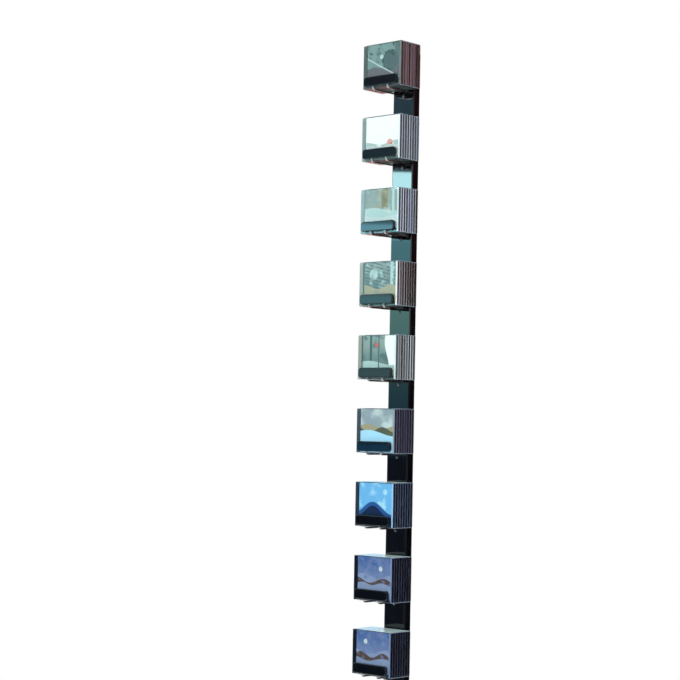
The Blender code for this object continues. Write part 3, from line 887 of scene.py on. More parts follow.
def add_base(bm, room, sizes, steps):
    """Mould the clear base: a back plate, two side walls, and a rim above and below."""
    hinge_front = room.front + 2 * sizes.play
    lid_front = room.front + sizes.skin + sizes.play
    inner = room.back - sizes.skin
    section = [
        (room.left, hinge_front), (room.left, room.back), (room.right, room.back), (room.right, lid_front),
        (room.right - sizes.skin, lid_front), (room.right - sizes.skin, inner),
        (room.left + sizes.skin, inner), (room.left + sizes.skin, hinge_front),
    ]
    low = room.foot + sizes.skin + sizes.play
    high = room.top - sizes.skin - sizes.play
    edges = add_prism(bm, [(x, y, low) for x, y in section], (0.0, 0.0, high - low))
    bevel(bm, edges, sizes.edge, steps)
    rim = room.front + sizes.lid_rim + sizes.play
    for foot, top in ((room.foot, room.foot + sizes.skin), (room.top - sizes.skin, room.top)):
        edges = add_box(bm, (room.left, rim, foot), (room.right, room.back, top))
        bevel(bm, edges, sizes.edge, steps)


def add_shell(bm, room, sizes, edge_tint, steps):
    """Add a case's clear lid and base, with pale cut edges and a frosted top whose pale cyan is painted light
    from above.
    """
    plate = room.back - sizes.skin
    rims = (room.foot + sizes.skin, room.top - sizes.skin)
    old = set(bm.faces)
    add_lid(bm, room, sizes, steps)
    for rim in rims:
        slit(bm, old, (0.0, 0.0, rim), (0.0, 0.0, 1.0))
    lid = new_faces(bm, old)
    dye(bm, lid, edge_tint, CLEAR)
    bm.normal_update()
    dye(bm, [face for face in lid if abs(face.normal.x) > SQUARE_ON], edge_tint, CUT)
    old = set(bm.faces)
    add_base(bm, room, sizes, steps)
    slit(bm, old, (0.0, plate, 0.0), (0.0, 1.0, 0.0))
    base = new_faces(bm, old)
    dye(bm, base, edge_tint, CLEAR)
    dye(bm, cut_ends(bm, base, room, plate), edge_tint, CUT)
    flanges = []
    for face in cut_ends(bm, (*lid, *base), room, room.front):
        level = face.calc_center_median().z
        if level < rims[0] or level > rims[1]:
            flanges.append(face)
    dye(bm, flanges, ink(RIM_TINT), CUT)
    # The top faces take the lit top tint, which is painted light from above on frosted plastic
    lit_tops, inside = [], []
    for face in (*lid, *base):
        middle = face.calc_center_median()
        if face.normal.z > SQUARE_ON and room.top - middle.z < HAIR:
            lit_tops.append(face)
        elif room_distance(middle, room) > 1.2 * sizes.edge:
            inside.append(face)
    dye(bm, lit_tops, ink(LIT_TOP_TINT), LIT_TOP)
    dye(bm, inside, edge_tint, INSIDE)


def add_tray(bm, room, sizes, cover, side_tint, steps):
    """Add a case's tray: a block with the ribbed hinge strip and a flange at the opening side."""
    gap = sizes.skin + sizes.play
    left, right = room.left + gap, room.right - gap
    foot, top = room.foot + gap + sizes.play, room.top - gap - sizes.play
    front = room.front + sizes.tray
    back = room.back - sizes.skin - 2.2 * sizes.play
    hinge_front = room.front + 2.5 * sizes.play
    hinge = room.left + sizes.hinge_strip - sizes.play
    booklet_end = hinge + 4 * sizes.play + sizes.booklet
    strip_front = room.front + sizes.skin + sizes.play
    hinge_tint, strip_tint, dark = ink(cover.hinge), ink(cover.strip), ink(TRAY_TINT)
    blocks = [
        ((left, front, foot), (right, back, top), Vector(hinge_tint).lerp(dark, TRAY_SHADE), dark),
        ((left, hinge_front, foot), (hinge, front + sizes.play, top), hinge_tint, hinge_tint),
        ((booklet_end, strip_front, foot), (right, front + sizes.play, top), strip_tint, side_tint),
    ]
    middle = (left + hinge) / 2
    for count in range(sizes.ribs):
        x = middle + (count - (sizes.ribs - 1) / 2) * sizes.rib_pitch
        low = (x - sizes.rib_width / 2, room.front + 0.5 * sizes.play, foot + sizes.rib_end)
        high = (x + sizes.rib_width / 2, hinge_front + sizes.play, top - sizes.rib_end)
        blocks.append((low, high, hinge_tint, hinge_tint))
    for low, high, front_tint, tint in blocks:
        old = set(bm.faces)
        bevel(bm, add_box(bm, low, high), sizes.edge, steps)
        block = new_faces(bm, old)
        bm.normal_update()
        dye(bm, block, tint)
        dye(bm, facing_front(block), front_tint)


def add_paper(bm, room, sizes, spine):
    """Add a case's papers: the booklet under the lid, the inlay at the back and its two spines."""
    hinge = room.left + sizes.hinge_strip + 3 * sizes.play
    inner = room.front + sizes.skin + 0.5 * sizes.play
    rise = (room.top - room.foot - sizes.booklet) / 2
    old = set(bm.faces)
    low = (hinge, inner, room.foot + rise)
    high = (hinge + sizes.booklet, inner + sizes.paper, room.top - rise)
    bevel(bm, along(add_box(bm, low, high), 2), 0.4 * sizes.paper, 2)
    booklet = new_faces(bm, old)
    dye(bm, booklet, ink(INKS[PAGE_INK]), PLAIN_PAPER)
    card = sizes.play
    back = room.back - sizes.skin - 0.5 * card
    wall = room.right - sizes.skin - 0.5 * card
    spine_front = room.front + 2 * sizes.skin
    foot, top = room.foot + 2.2 * sizes.skin, room.top - 2.2 * sizes.skin
    papers = [((-wall, back - card, foot), (wall, back, top))]
    for side in (-1, 1):
        near, far = sorted((side * wall, side * (wall - card)))
        papers.append(((near, spine_front, foot), (far, back - 1.2 * card, top)))
    for low, high in papers:
        old = set(bm.faces)
        add_box(bm, low, high)
        dye(bm, new_faces(bm, old), spine, PLAIN_PAPER)
    return booklet


def map_booklet(bm, faces, sizes):
    """Lay the booklet's front over its print."""
    layer = bm.loops.layers.uv.new(PRINT_UV)
    bm.normal_update()
    front = facing_front(faces)
    left = min(vert.co.x for face in front for vert in face.verts)
    foot = min(vert.co.z for face in front for vert in face.verts)
    for face in front:
        face.material_index = COVER_PRINT
        for loop in face.loops:
            spot = loop.vert.co
            loop[layer].uv = ((spot.x - left) / sizes.booklet, (spot.z - foot) / sizes.booklet)


def spine_tints(bay):
    """Colours of each case's spine and cut edges in one stack, front to back, darker towards the back as
    painted shade.
    """
    draw = random.Random(bay)
    cover = COVERS[bay - 1]
    spine, edge = Vector(ink(cover.spine)), Vector(ink(cover.edge))
    tints = []
    for place in range(PACK_CASES + 1):
        # Painted shade: spines and cut edges grow darker towards the back of the stack
        fade = 1.0 - (1.0 - cover.fade) * place / PACK_CASES
        level = fade * draw.choice(SPINE_LEVELS) ** cover.contrast
        warm = draw.uniform(*SPINE_WARMTH)
        shine = fade * draw.choice(EDGE_LEVELS) ** cover.contrast
        tints.append((Vector((spine.x * warm, spine.y, spine.z / warm)) * level, edge * shine))
    return tints


def add_cases(bay, cover, places, sizes, steps):
    """Add the cases at some places of a stack: their shells, trays and papers, and the last booklet."""
    shells, trays, papers = bmesh.new(), bmesh.new(), bmesh.new()
    tints = spine_tints(bay)
    for place in places:
        room = case_room(place)
        spine, edges = tints[place]
        add_shell(shells, room, sizes, edges, steps)
        add_tray(trays, room, sizes, cover, edges, steps)
        booklet = add_paper(papers, room, sizes, spine)
    return shells, trays, papers, booklet


def set_cases(bay, node, parts):
    """Set the parts of a front case or a pack in their bay."""
    for label, bm, finishes, slot in parts:
        name = f"{label}_{bay}"
        face_out(bm)
        mesh = mesh_from(bm, name)
        if not mesh.polygons:
            raise RuntimeError(f"{name} has no faces")
        mesh.transform(Matrix.Translation(bay_drop(bay)))
        set_piece(name, mesh, finishes, node, node)


# Holders


def wire_shape(sizes):
    """Bend one side of a cradle from a round section, mirror it and join the halves."""
    side = WIRE_HIGH.x - sizes.wire
    level = WIRE_LOW.z + sizes.wire
    bar = WIRE_HIGH.z - sizes.wire
    front = WIRE_LOW.y + sizes.wire
    bend = sizes.wire_bend
    bm = bmesh.new()
    start = Matrix.Translation((side, WIRE_HIGH.y, level)) @ TO_FRONT
    bmesh.ops.create_circle(bm, cap_ends=True, segments=sizes.wire_sides, radius=sizes.wire, matrix=start)
    ring = run_wire(bm, bm.edges[:], (0.0, front + bend - WIRE_HIGH.y, 0.0))
    ring = turn_wire(bm, ring, (side, front + bend, level + bend), (1.0, 0.0, 0.0))
    ring = run_wire(bm, ring, (0.0, 0.0, bar - level - 2 * bend))
    ring = turn_wire(bm, ring, (side - bend, front, bar - bend), (0.0, 1.0, 0.0))
    run_wire(bm, ring, (bend - side, 0.0, 0.0))
    halves = [*bm.verts, *bm.edges, *bm.faces]
    bmesh.ops.mirror(bm, geom=halves, axis="X", merge_dist=WELD)
    bmesh.ops.remove_doubles(bm, verts=bm.verts[:], dist=WELD)
    face_out(bm)
    return bm


def run_wire(bm, ring, travel):
    """Draw a ring of edges straight on."""
    grown = bmesh.ops.extrude_edge_only(bm, edges=ring)["geom"]
    bmesh.ops.translate(bm, verts=verts_of(grown), vec=travel)
    return edges_of(grown)


def turn_wire(bm, ring, centre, axis):
    """Turn a ring of edges through a quarter circle."""
    verts = {vert for edge in ring for vert in edge.verts}
    turned = bmesh.ops.spin(
        bm,
        geom=[*ring, *verts],
        cent=centre,
        axis=axis,
        angle=-math.pi / 2,
        steps=WIRE_BEND_STEPS,
    )
    return edges_of(turned["geom_last"])


def lip_shape(sizes):
    """Mould a lip: a rounded bar, hollow behind, with ribs and slots for the wire."""
    bm = bmesh.new()
    edges = add_box(bm, LIP_LOW, LIP_HIGH)
    bevel(bm, along(edges, 1), sizes.lip_corner, LIP_CORNER_STEPS)
    bevel(bm, end_face(bm, 1, -1.0).edges[:], sizes.lip_front, LIP_FRONT_STEPS)
    bevel(bm, end_face(bm, 1, 1.0).edges[:], 0.25 * sizes.lip_rim, LIP_BACK_STEPS)
    back = end_face(bm, 1, 1.0)
    bmesh.ops.inset_region(bm, faces=[back], thickness=0.6 * sizes.lip_rim, use_even_offset=True)
    pocket = bmesh.ops.extrude_discrete_faces(bm, faces=[back])["faces"][0]
    floor = LIP_LOW.y + sizes.lip_wall
    bmesh.ops.translate(bm, verts=pocket.verts[:], vec=(0.0, floor - LIP_HIGH.y, 0.0))
    face_out(bm)
    return carve_lip(bm, sizes)


def carve_lip(bm, sizes):
    """Add the ribs of a lip and cut its slots for the wire's two legs."""
    side = WIRE_HIGH.x - sizes.wire
    bar = WIRE_HIGH.z - sizes.wire
    floor = LIP_LOW.y + sizes.lip_wall
    cutter = bmesh.new()
    for leg in (-side, side):
        low = (leg - sizes.wire_room, floor, LIP_LOW.z - MM)
        high = (leg + sizes.wire_room, LIP_HIGH.y + MM, bar)
        add_box(cutter, low, high)
    bm = carve(bm, cutter)
    inset = 0.5 * sizes.lip_rim
    stays = ((LIP_LOW.z + inset, bar - sizes.wire_room), (bar + sizes.wire_room, LIP_HIGH.z - inset))
    for count in (-1, 0, 1):
        x = count * sizes.lip_rib_spacing
        for low, high in stays:
            edges = add_box(
                bm,
                (x - sizes.lip_rib / 2, floor - 0.3 * sizes.lip_wall, low),
                (x + sizes.lip_rib / 2, LIP_HIGH.y - 0.3 * sizes.lip_rim, high),
            )
            bevel(bm, along(edges, 2), 0.1 * sizes.lip_rib, 1)
    return bm


def screw_shape(sizes):
    """Turn a dome-head screw on a lathe and cut its hexagon socket."""
    radius = (SCREW_HIGH.x - SCREW_LOW.x) / 2
    tip = -(SCREW_HIGH.y - SCREW_LOW.y - sizes.head)
    rim = 0.25 * sizes.head
    chamfer = 0.2 * sizes.shank
    profile = [
        (0.0, tip), (sizes.shank - chamfer, tip), (sizes.shank, tip + chamfer),
        (sizes.shank, 0.0), (radius, 0.0),
    ]
    for step in range(DOME_STEPS + 1):
        turn = step / DOME_STEPS * math.pi / 2
        profile.append((radius * math.cos(turn), rim + (sizes.head - rim) * math.sin(turn)))
    bm = bmesh.new()
    verts = [bm.verts.new((x, 0.0, z)) for x, z in profile]
    for first, second in zip(verts, verts[1:]):
        bm.edges.new((first, second))
    bmesh.ops.spin(
        bm,
        geom=[*bm.verts, *bm.edges],
        cent=(0.0, 0.0, 0.0),
        axis=(0.0, 0.0, 1.0),
        angle=math.tau,
        steps=SCREW_SIDES,
        use_merge=True,
    )
    bmesh.ops.remove_doubles(bm, verts=bm.verts[:], dist=FINE_WELD)
    face_out(bm)
    corner = sizes.socket / math.sqrt(3.0)
    hexagon = bmesh.new()
    bmesh.ops.create_cone(
        hexagon,
        cap_ends=True,
        segments=6,
        radius1=corner,
        radius2=corner,
        depth=2 * sizes.socket_depth,
        matrix=Matrix.Translation((0.0, 0.0, sizes.head)),
    )
    bm = carve(bm, hexagon)
    middle = (SCREW_LOW + SCREW_HIGH) / 2
    place = Matrix.Translation((middle.x, SCREW_LOW.y + sizes.head, middle.z))
    bmesh.ops.transform(bm, matrix=place @ TO_FRONT, verts=bm.verts[:])
    return bm


# Channel


def channel_shape(column, holders):
    """Fold the channel from one sheet and drill its front."""
    bm = bmesh.new()
    corners = [
        (COLUMN_LOW.x, COLUMN_HIGH.y), (COLUMN_LOW.x, COLUMN_LOW.y),
        (COLUMN_HIGH.x, COLUMN_LOW.y), (COLUMN_HIGH.x, COLUMN_HIGH.y),
    ]
    verts = [bm.verts.new((x, y, COLUMN_LOW.z)) for x, y in corners]
    for first, second in zip(verts, verts[1:]):
        bm.edges.new((first, second))
    bevel(bm, verts[1:3], column.bend, column.bend_steps, "VERTICES")
    raised = bmesh.ops.extrude_edge_only(bm, edges=bm.edges[:])["geom"]
    bmesh.ops.translate(bm, verts=verts_of(raised), vec=(0.0, 0.0, COLUMN_HIGH.z - COLUMN_LOW.z))
    face_out(bm)
    if end_face(bm, 1, -1.0).normal.y > 0.0:
        bmesh.ops.reverse_faces(bm, faces=bm.faces[:])
    bmesh.ops.solidify(bm, geom=bm.faces[:], thickness=column.sheet)
    face_out(bm)
    return carve(bm, channel_holes(column, holders))


def channel_holes(column, holders):
    """Rods for the holes of every holder: two for its wire and one for its screw."""
    bm = bmesh.new()
    middle = COLUMN_LOW.y + column.sheet / 2
    wire_side = WIRE_HIGH.x - holders.wire
    wire_level = WIRE_LOW.z + holders.wire
    screw_level = (SCREW_LOW.z + SCREW_HIGH.z) / 2
    for bay in BAYS:
        for x, z in ((-wire_side, wire_level), (wire_side, wire_level), (0.0, screw_level)):
            centre = Vector((x, middle, z)) + bay_drop(bay)
            add_rod(bm, centre, column.hole, 2 * column.sheet, HOLE_SIDES)
    return bm


def cap_shape(node, outward, column):
    """Mould an end cap: a rounded plate and a plug that enters the channel."""
    low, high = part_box(node)
    seat, end = (COLUMN_HIGH.z, high.z) if outward > 0 else (COLUMN_LOW.z, low.z)
    plate_foot, plate_top = sorted((seat, end))
    bm = bmesh.new()
    edges = add_box(bm, (low.x, low.y, plate_foot), (high.x, high.y, plate_top))
    front = [edge for edge in along(edges, 2) if edge.verts[0].co.y < (low.y + high.y) / 2]
    bevel(bm, front, column.bend, column.bend_steps)
    bevel(bm, end_face(bm, 2, outward).edges[:], column.cap_round, CAP_STEPS)
    half = COLUMN_HIGH.x - column.sheet - column.cap_play
    plug_front = COLUMN_LOW.y + column.sheet + column.cap_play
    plug_back = plug_front + column.cap_plug_depth
    plug_foot, plug_top = sorted((seat - outward * column.cap_plug, (seat + end) / 2))
    edges = add_box(bm, (-half, plug_front, plug_foot), (half, plug_back, plug_top))
    front = [edge for edge in along(edges, 2) if edge.verts[0].co.y < plug_front + column.sheet]
    bevel(bm, front, column.bend - column.sheet, CAP_STEPS)
    return bm


# Operators


class CDRACK_OT_column(Operator):
    """Fold and lacquer the wall channel"""

    bl_idname = "cd_rack.column"
    bl_label = "Column"
    bl_options = {"REGISTER", "UNDO"}

    def execute(self, context):
        scene = context.scene
        mesh = mesh_from(channel_shape(scene.cd_rack_column, scene.cd_rack_holders), "lacquered_column")
        shade(mesh)
        finish = lacquer_finish(scene.cd_rack_finishes)
        set_piece("lacquered_column", mesh, [finish], "rack", "column", even=True)
        return {"FINISHED"}


class CDRACK_OT_caps(Operator):
    """Mould the channel's two end caps"""

    bl_idname = "cd_rack.caps"
    bl_label = "End caps"
    bl_options = {"REGISTER", "UNDO"}

    def execute(self, context):
        scene = context.scene
        finish = moulded_finish("cap_moulding", scene.cd_rack_finishes, gloss=0.0)
        for end, outward in (("top", 1.0), ("bottom", -1.0)):
            node = f"column_cap_{end}"
            mesh = mesh_from(cap_shape(node, outward, scene.cd_rack_column), f"moulded_cap_{end}")
            shade(mesh)
            set_piece(f"moulded_cap_{end}", mesh, [finish], "rack", node, even=True)
        return {"FINISHED"}


class CDRACK_OT_plated_steel(Operator):
    """Give the hangers and clamp blocks their zinc plating"""

    bl_idname = "cd_rack.plated_steel"
    bl_label = "Hangers and clamps"
    bl_options = {"REGISTER", "UNDO"}

    def execute(self, context):
        finish = zinc_finish(context.scene.cd_rack_finishes)
        for name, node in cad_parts.items():
            if name.startswith(("hanger_", "clamp_")):
                for place in node.material_slots:
                    place.material = finish
        return {"FINISHED"}


class CDRACK_OT_cradles(Operator):
    """Bend the wire cradles"""

    bl_idname = "cd_rack.cradles"
    bl_label = "Wire cradles"
    bl_options = {"REGISTER", "UNDO"}

    def execute(self, context):
        holders = context.scene.cd_rack_holders
        finish = wire_finish(context.scene.cd_rack_finishes, holders)
        set_holders(wire_shape(holders), "bent_wire", "cradle", finish, WIRE_CREASE)
        return {"FINISHED"}


class CDRACK_OT_lips(Operator):
    """Mould the front lips"""

    bl_idname = "cd_rack.lips"
    bl_label = "Front lips"
    bl_options = {"REGISTER", "UNDO"}

    def execute(self, context):
        shape = lip_shape(context.scene.cd_rack_holders)
        finish = moulded_finish("lip_moulding", context.scene.cd_rack_finishes, gloss=1.0)
        set_holders(shape, "moulded_lip", "lip", finish, even=True)
        return {"FINISHED"}


class CDRACK_OT_screws(Operator):
    """Turn the clamp screws"""

    bl_idname = "cd_rack.screws"
    bl_label = "Clamp screws"
    bl_options = {"REGISTER", "UNDO"}

    def execute(self, context):
        shape = screw_shape(context.scene.cd_rack_holders)
        finish = screw_finish(context.scene.cd_rack_finishes)
        set_holders(shape, "dome_screw", "screw", finish)
        return {"FINISHED"}


class CDRACK_OT_front_cases(Operator):
    """Mould, print and fill the front case of every stack"""

    bl_idname = "cd_rack.front_cases"
    bl_label = "Front cases"
    bl_options = {"REGISTER", "UNDO"}

    def execute(self, context):
        sizes = context.scene.cd_rack_cases
        *clear, tray, paper = case_finishes(context)
        for bay, cover in zip(BAYS, COVERS):
            shell, trays, papers, booklet = add_cases(bay, cover, (0,), sizes, FRONT_CASE_STEPS)
            map_booklet(papers, booklet, sizes)
            printed = CoverPrint(f"cover_print_{bay}", cover).material
            set_cases(bay, f"front_case_{bay}", (
                ("case_shell", shell, clear, "case_styrene"),
                ("case_tray", trays, [tray], "case_styrene"),
                ("case_print", papers, [printed, paper], f"cover_{bay}"),
            ))
        return {"FINISHED"}


class CDRACK_OT_case_packs(Operator):
    """Mould, print and fill the cases behind the front one of every stack"""

    bl_idname = "cd_rack.case_packs"
    bl_label = "Case packs"
    bl_options = {"REGISTER", "UNDO"}

    def execute(self, context):
        sizes = context.scene.cd_rack_cases
        *clear, tray, paper = case_finishes(context)
        places = range(1, 1 + PACK_CASES)
        for bay, cover in zip(BAYS, COVERS):
            shells, trays, papers, _ = add_cases(bay, cover, places, sizes, PACK_STEPS)
            # No cover shows here, so plain paper takes the print's place
            set_cases(bay, f"case_pack_{bay}", (
                ("pack_shells", shells, clear, "case_styrene"),
                ("pack_trays", trays, [tray], "case_styrene"),
                ("pack_prints", papers, [paper, paper], "case_styrene"),
            ))
        return {"FINISHED"}


# Studio


CAMERA_PLACE = Vector((3.278, -3.8076, -0.9955))
CAMERA_TARGET = Vector((-0.140, -0.1196, -0.7675))
CAMERA_ROLL = math.radians(1.12)
CAMERA_LENS = 93.8
CAMERA_SENSOR = 36.0

# Lamps, from the middle of the rack
KEY_PLACE, KEY_SIZE = Vector((-1.2, -2.7, 1.7)), 2.0
FILL_PLACE, FILL_SIZE = Vector((2.8, -1.6, 0.4)), 1.8

# Strongest glow, and the bounces that end the cards' glow and the white surround
GLOW_SCALE = 12.0
SECOND_BOUNCE = 1.5
FIRST_DIFFUSE = 0.5

# What the glowing cards send at each height: painted reflections of a lit room and its window, which only the
# gloss of the rack shows
PANEL_DISTANCE, PANEL_HALF = 2.5, 1.3
PANEL_GLOWS = (
    (-2.300, (0.03, 0.04, 0.07)),
    (-1.140, (0.03, 0.04, 0.07)),
    (-1.128, (0.10, 0.62, 1.20)),
    (-1.098, (0.10, 0.62, 1.20)),
    (-1.085, (0.08, 0.20, 0.30)),
    (-0.950, (0.12, 0.32, 0.45)),
    (-0.825, (0.18, 0.48, 0.58)),
    (-0.815, (0.75, 1.50, 1.60)),
    (-0.778, (0.75, 1.50, 1.60)),
    (-0.765, (0.35, 0.80, 0.85)),
    (-0.640, (0.65, 1.50, 1.45)),
    (-0.520, (0.80, 1.75, 1.65)),
    (-0.510, (1.10, 2.70, 3.00)),
    (-0.472, (1.10, 2.70, 3.00)),
    (-0.460, (0.70, 1.65, 1.75)),
    (-0.330, (0.60, 1.60, 1.85)),
    (-0.215, (0.62, 1.65, 1.90)),
    (-0.205, (2.20, 5.60, 6.80)),
    (-0.175, (2.20, 5.60, 6.80)),
    (-0.160, (0.60, 1.50, 1.75)),
    (-0.020, (0.50, 1.15, 1.30)),
    (0.065, (0.20, 0.40, 0.50)),
    (0.105, (0.06, 0.10, 0.15)),
    (0.118, (0.22, 0.46, 0.57)),
    (0.150, (0.22, 0.46, 0.57)),
    (0.165, (0.06, 0.09, 0.14)),
    (0.290, (0.20, 0.41, 0.56)),
    (0.405, (0.20, 0.41, 0.56)),
    (0.425, (0.13, 0.19, 0.22)),
    (0.900, (0.25, 0.38, 0.38)),
)
# Painted reflection of a window: a bright band in front of the panel card
WINDOW_GLOWS = (
    (-0.016, (5.00, 8.75, 9.30)),
    (0.068, (5.00, 8.75, 9.30)),
    (0.076, (0.30, 0.60, 0.70)),
)
WINDOW_HALF = 0.16
WINDOW_GAP = 20.0 * MM
# Painted reflection of the room behind the camera
ROOM_DISTANCE, ROOM_HALF = 5.5, 6.0
ROOM_GLOWS = (
    (-4.00, (0.02, 0.02, 0.03)),
    (-0.80, (0.02, 0.02, 0.03)),
    (-0.45, (0.55, 0.75, 0.75)),
    (0.50, (0.55, 0.75, 0.75)),
    (0.90, (0.20, 0.28, 0.32)),
    (3.00, (0.20, 0.26, 0.28)),
)
# Painted reflection of a red wall behind the rack: darker and purple lower down as painted shade, and dim
# beside the column as its painted shadow
WALL_MIDDLE = Vector((0.1525, 12.0 * MM, 0.0))
WALL_HALF = 0.1075
WALL_SHADOW_MIDDLE, WALL_SHADOW_HALF = 0.0675, 0.0275
WALL_SHADOW_SHARE, WALL_SHADOW_FADE = 0.15, 1.4
WALL_GLOWS = (
    (-2.30, (0.010, 0.006, 0.014)),
    (-1.00, (0.016, 0.008, 0.016)),
    (-0.70, (0.120, 0.022, 0.022)),
    (-0.45, (0.320, 0.026, 0.020)),
    (0.60, (0.300, 0.022, 0.014)),
)
TO_ROOM = Vector((0.0, -1.0, 0.0))

# Small soft cards behind the stacks: a dark one for painted shade and a red one for a painted reflection of
# the wall under the upper stacks, a pale one for a painted sheen on the lower stacks' tops; what they send,
# their reach and their places
SHADE_PATCH = (0.035, 0.022, 0.022)
SHADE_REACH = Vector((0.100, 1.0, 0.050))
SHADE_DEPTH = 16.0 * MM
UNDER_WALL_REFLECTION = (0.46, 0.04, 0.02)
UNDER_REACH = Vector((0.075, 1.0, 0.034))
UNDER_DROP = 0.6
TOP_SHEEN = (0.58, 0.92, 1.25)
TOP_REACH = Vector((0.080, 1.0, 0.036))
TOP_RISE = 0.4
UNDER_SIDE, TOP_SIDE = -0.147, -0.132
LEAST_RISE = 0.2


def first_glow(finish, hue, strength):
    """A glow that shows in a first reflection and not in a reflection of it."""
    depth = finish.node("LightPath").outputs["Glossy Depth"]
    first = finish.math("LESS_THAN", depth, SECOND_BOUNCE)
    sockets = {"Color": hue, "Strength": finish.math("MULTIPLY", strength, first)}
    return finish.node("Emission", sockets).outputs["Emission"]


def glow_finish(name, glows, painted_shadow):
    """A glow that changes with height, for a card that paints reflections, and that may be dim part of the
    way across as painted shadow.
    """
    finish = Finish(name)
    across, _, height = finish.split(finish.place())
    foot, head = glows[0][0], glows[-1][0]
    ramp = finish.node("ValToRGB", {"Fac": finish.remap(height, start=foot, end=head)})
    stops = ramp.color_ramp.elements
    while len(stops) < len(glows):
        stops.new(0.5)
    for stop, (level, _) in zip(stops, glows):
        stop.position = (level - foot) / (head - foot)
    for stop, (_, hue) in zip(stops, glows):
        stop.color = (*(part / GLOW_SCALE for part in hue), 1.0)
    strength = GLOW_SCALE
    # The dim stretch beside the column is the column's painted shadow on the wall
    if painted_shadow:
        off = finish.math("ABSOLUTE", finish.math("SUBTRACT", across, WALL_SHADOW_MIDDLE))
        strength = finish.remap(
            off,
            low=WALL_SHADOW_SHARE * GLOW_SCALE,
            high=GLOW_SCALE,
            start=WALL_SHADOW_HALF,
            end=WALL_SHADOW_FADE * WALL_SHADOW_HALF,
            soft=True,
        )
    finish.show(first_glow(finish, ramp.outputs["Color"], strength))
    return finish.material


def patch_finish(name, middle, reach, hue):
    """A glow that fades away round its middle, for a small reflected card."""
    finish = Finish(name)
    away = finish.measure("SUBTRACT", finish.place(), middle)
    away = finish.measure("LENGTH", finish.measure("DIVIDE", away, reach))
    fade = finish.mask(away, start=1.0, end=0.5)
    clear = finish.node("BsdfTransparent").outputs["BSDF"]
    glow = first_glow(finish, hue, 1.0)
    finish.show(finish.node("MixShader", {0: fade, 1: clear, 2: glow}).outputs["Shader"])
    return finish.material


def add_card(name, centre, facing, half_width, half_height, finish):
    """Stand a card, turned to face a direction, that only reflections see."""
    across = Vector((0.0, 0.0, 1.0)).cross(facing)
    turn = Matrix((across * half_width, Vector((0.0, 0.0, half_height)), facing)).transposed()
    bm = bmesh.new()
    place = Matrix.Translation(centre) @ turn.to_4x4()
    bmesh.ops.create_grid(bm, x_segments=1, y_segments=1, size=1.0, matrix=place)
    mesh = mesh_from(bm, name)
    mesh.materials.append(finish)
    card = put(name, mesh)
    for ray in ("camera", "diffuse", "transmission", "volume_scatter", "shadow"):
        setattr(card, f"visible_{ray}", False)


def add_glow(name, foot, glows, facing, half_width, painted_shadow=False):
    """Stand a card over a point of the ground plan, with its glow from foot to head."""
    low, high = glows[0][0], glows[-1][0]
    centre = Vector((foot.x, foot.y, (low + high) / 2))
    finish = glow_finish(name + "_glow", glows, painted_shadow)
    add_card(name, centre, facing, half_width, (high - low) / 2, finish)


def add_patch(name, middle, reach, hue):
    """Stand a small soft card behind the rack."""
    finish = patch_finish(name + "_glow", middle, reach, hue)
    add_card(name, middle, TO_ROOM, reach.x, reach.z, finish)


def add_cards():
    """Stand the glowing cards that paint reflections on the gloss of the rack: a lit room, its window and the
    wall behind, with painted shade and a painted wall reflection under the upper stacks and a painted sheen
    on the lower stacks' tops.
    """
    away = CAMERA_PLACE - CAMERA_TARGET
    front = Vector((0.0, CASE_LOW.y, 0.0))
    mirrored = Vector((-away.x, away.y, 0.0)).normalized()
    direct = Vector((away.x, away.y, 0.0)).normalized()
    panel = front + mirrored * PANEL_DISTANCE
    add_glow("panel_card", panel, PANEL_GLOWS, -mirrored, PANEL_HALF)
    add_glow("window_card", panel - mirrored * WINDOW_GAP, WINDOW_GLOWS, -mirrored, WINDOW_HALF)
    add_glow("room_card", front + direct * ROOM_DISTANCE, ROOM_GLOWS, -direct, ROOM_HALF)
    add_glow("wall_card", WALL_MIDDLE, WALL_GLOWS, TO_ROOM, WALL_HALF, painted_shadow=True)
    for bay in BAYS:
        foot = CASE_LOW.z + bay_drop(bay).z
        top = CASE_HIGH.z + bay_drop(bay).z
        if foot > CAMERA_PLACE.z + LEAST_RISE:
            # Painted shade and a painted red wall reflection under the stacks above the camera
            under = Vector((UNDER_SIDE, WALL_MIDDLE.y, foot - UNDER_DROP * UNDER_REACH.z))
            add_patch(f"under_card_{bay}", under, UNDER_REACH, UNDER_WALL_REFLECTION)
            shaded = Vector((under.x, SHADE_DEPTH, under.z))
            add_patch(f"shade_card_{bay}", shaded, SHADE_REACH, SHADE_PATCH)
        elif top < CAMERA_PLACE.z:
            # A painted sheen on the tops of the stacks below the camera
            above = Vector((TOP_SIDE, WALL_MIDDLE.y, top + TOP_RISE * TOP_REACH.z))
            add_patch(f"top_card_{bay}", above, TOP_REACH, TOP_SHEEN)


def floor_finish(studio, middle):
    """Pale floor paint that fades out at its edge."""
    finish = Finish("studio_floor", {"Roughness": 0.7})
    cloud = finish.grain(scale=2.0, detail=4.0)
    pale = [part * 1.03 for part in studio.floor]
    reach = finish.measure("DISTANCE", finish.place(), middle)
    finish.dress({
        "Base Color": finish.blend(cloud, studio.floor, pale),
        "Alpha": finish.mask(reach, start=studio.floor_radius, end=0.45 * studio.floor_radius),
    })
    return finish.material


def add_floor(studio):
    """Lay a round floor under the rack."""
    bm = bmesh.new()
    middle = Vector((0.0, 0.0, CAD_BOX[0].z - studio.floor_drop))
    level = Matrix.Translation(middle)
    bmesh.ops.create_circle(bm, cap_ends=True, segments=FLOOR_SIDES, radius=studio.floor_radius, matrix=level)
    mesh = mesh_from(bm, "studio_floor")
    mesh.materials.append(floor_finish(studio, middle))
    put("studio_floor", mesh)


def add_lamp(name, place, target, size, power):
    """Hang a soft square lamp."""
    lamp = bpy.data.lights.new(name, "AREA")
    lamp.size = size
    lamp.energy = power
    holder = put(name, lamp)
    holder.visible_glossy = False
    aim = (target - place).to_track_quat("-Z", "Y")
    holder.matrix_world = Matrix.Translation(place) @ aim.to_matrix().to_4x4()


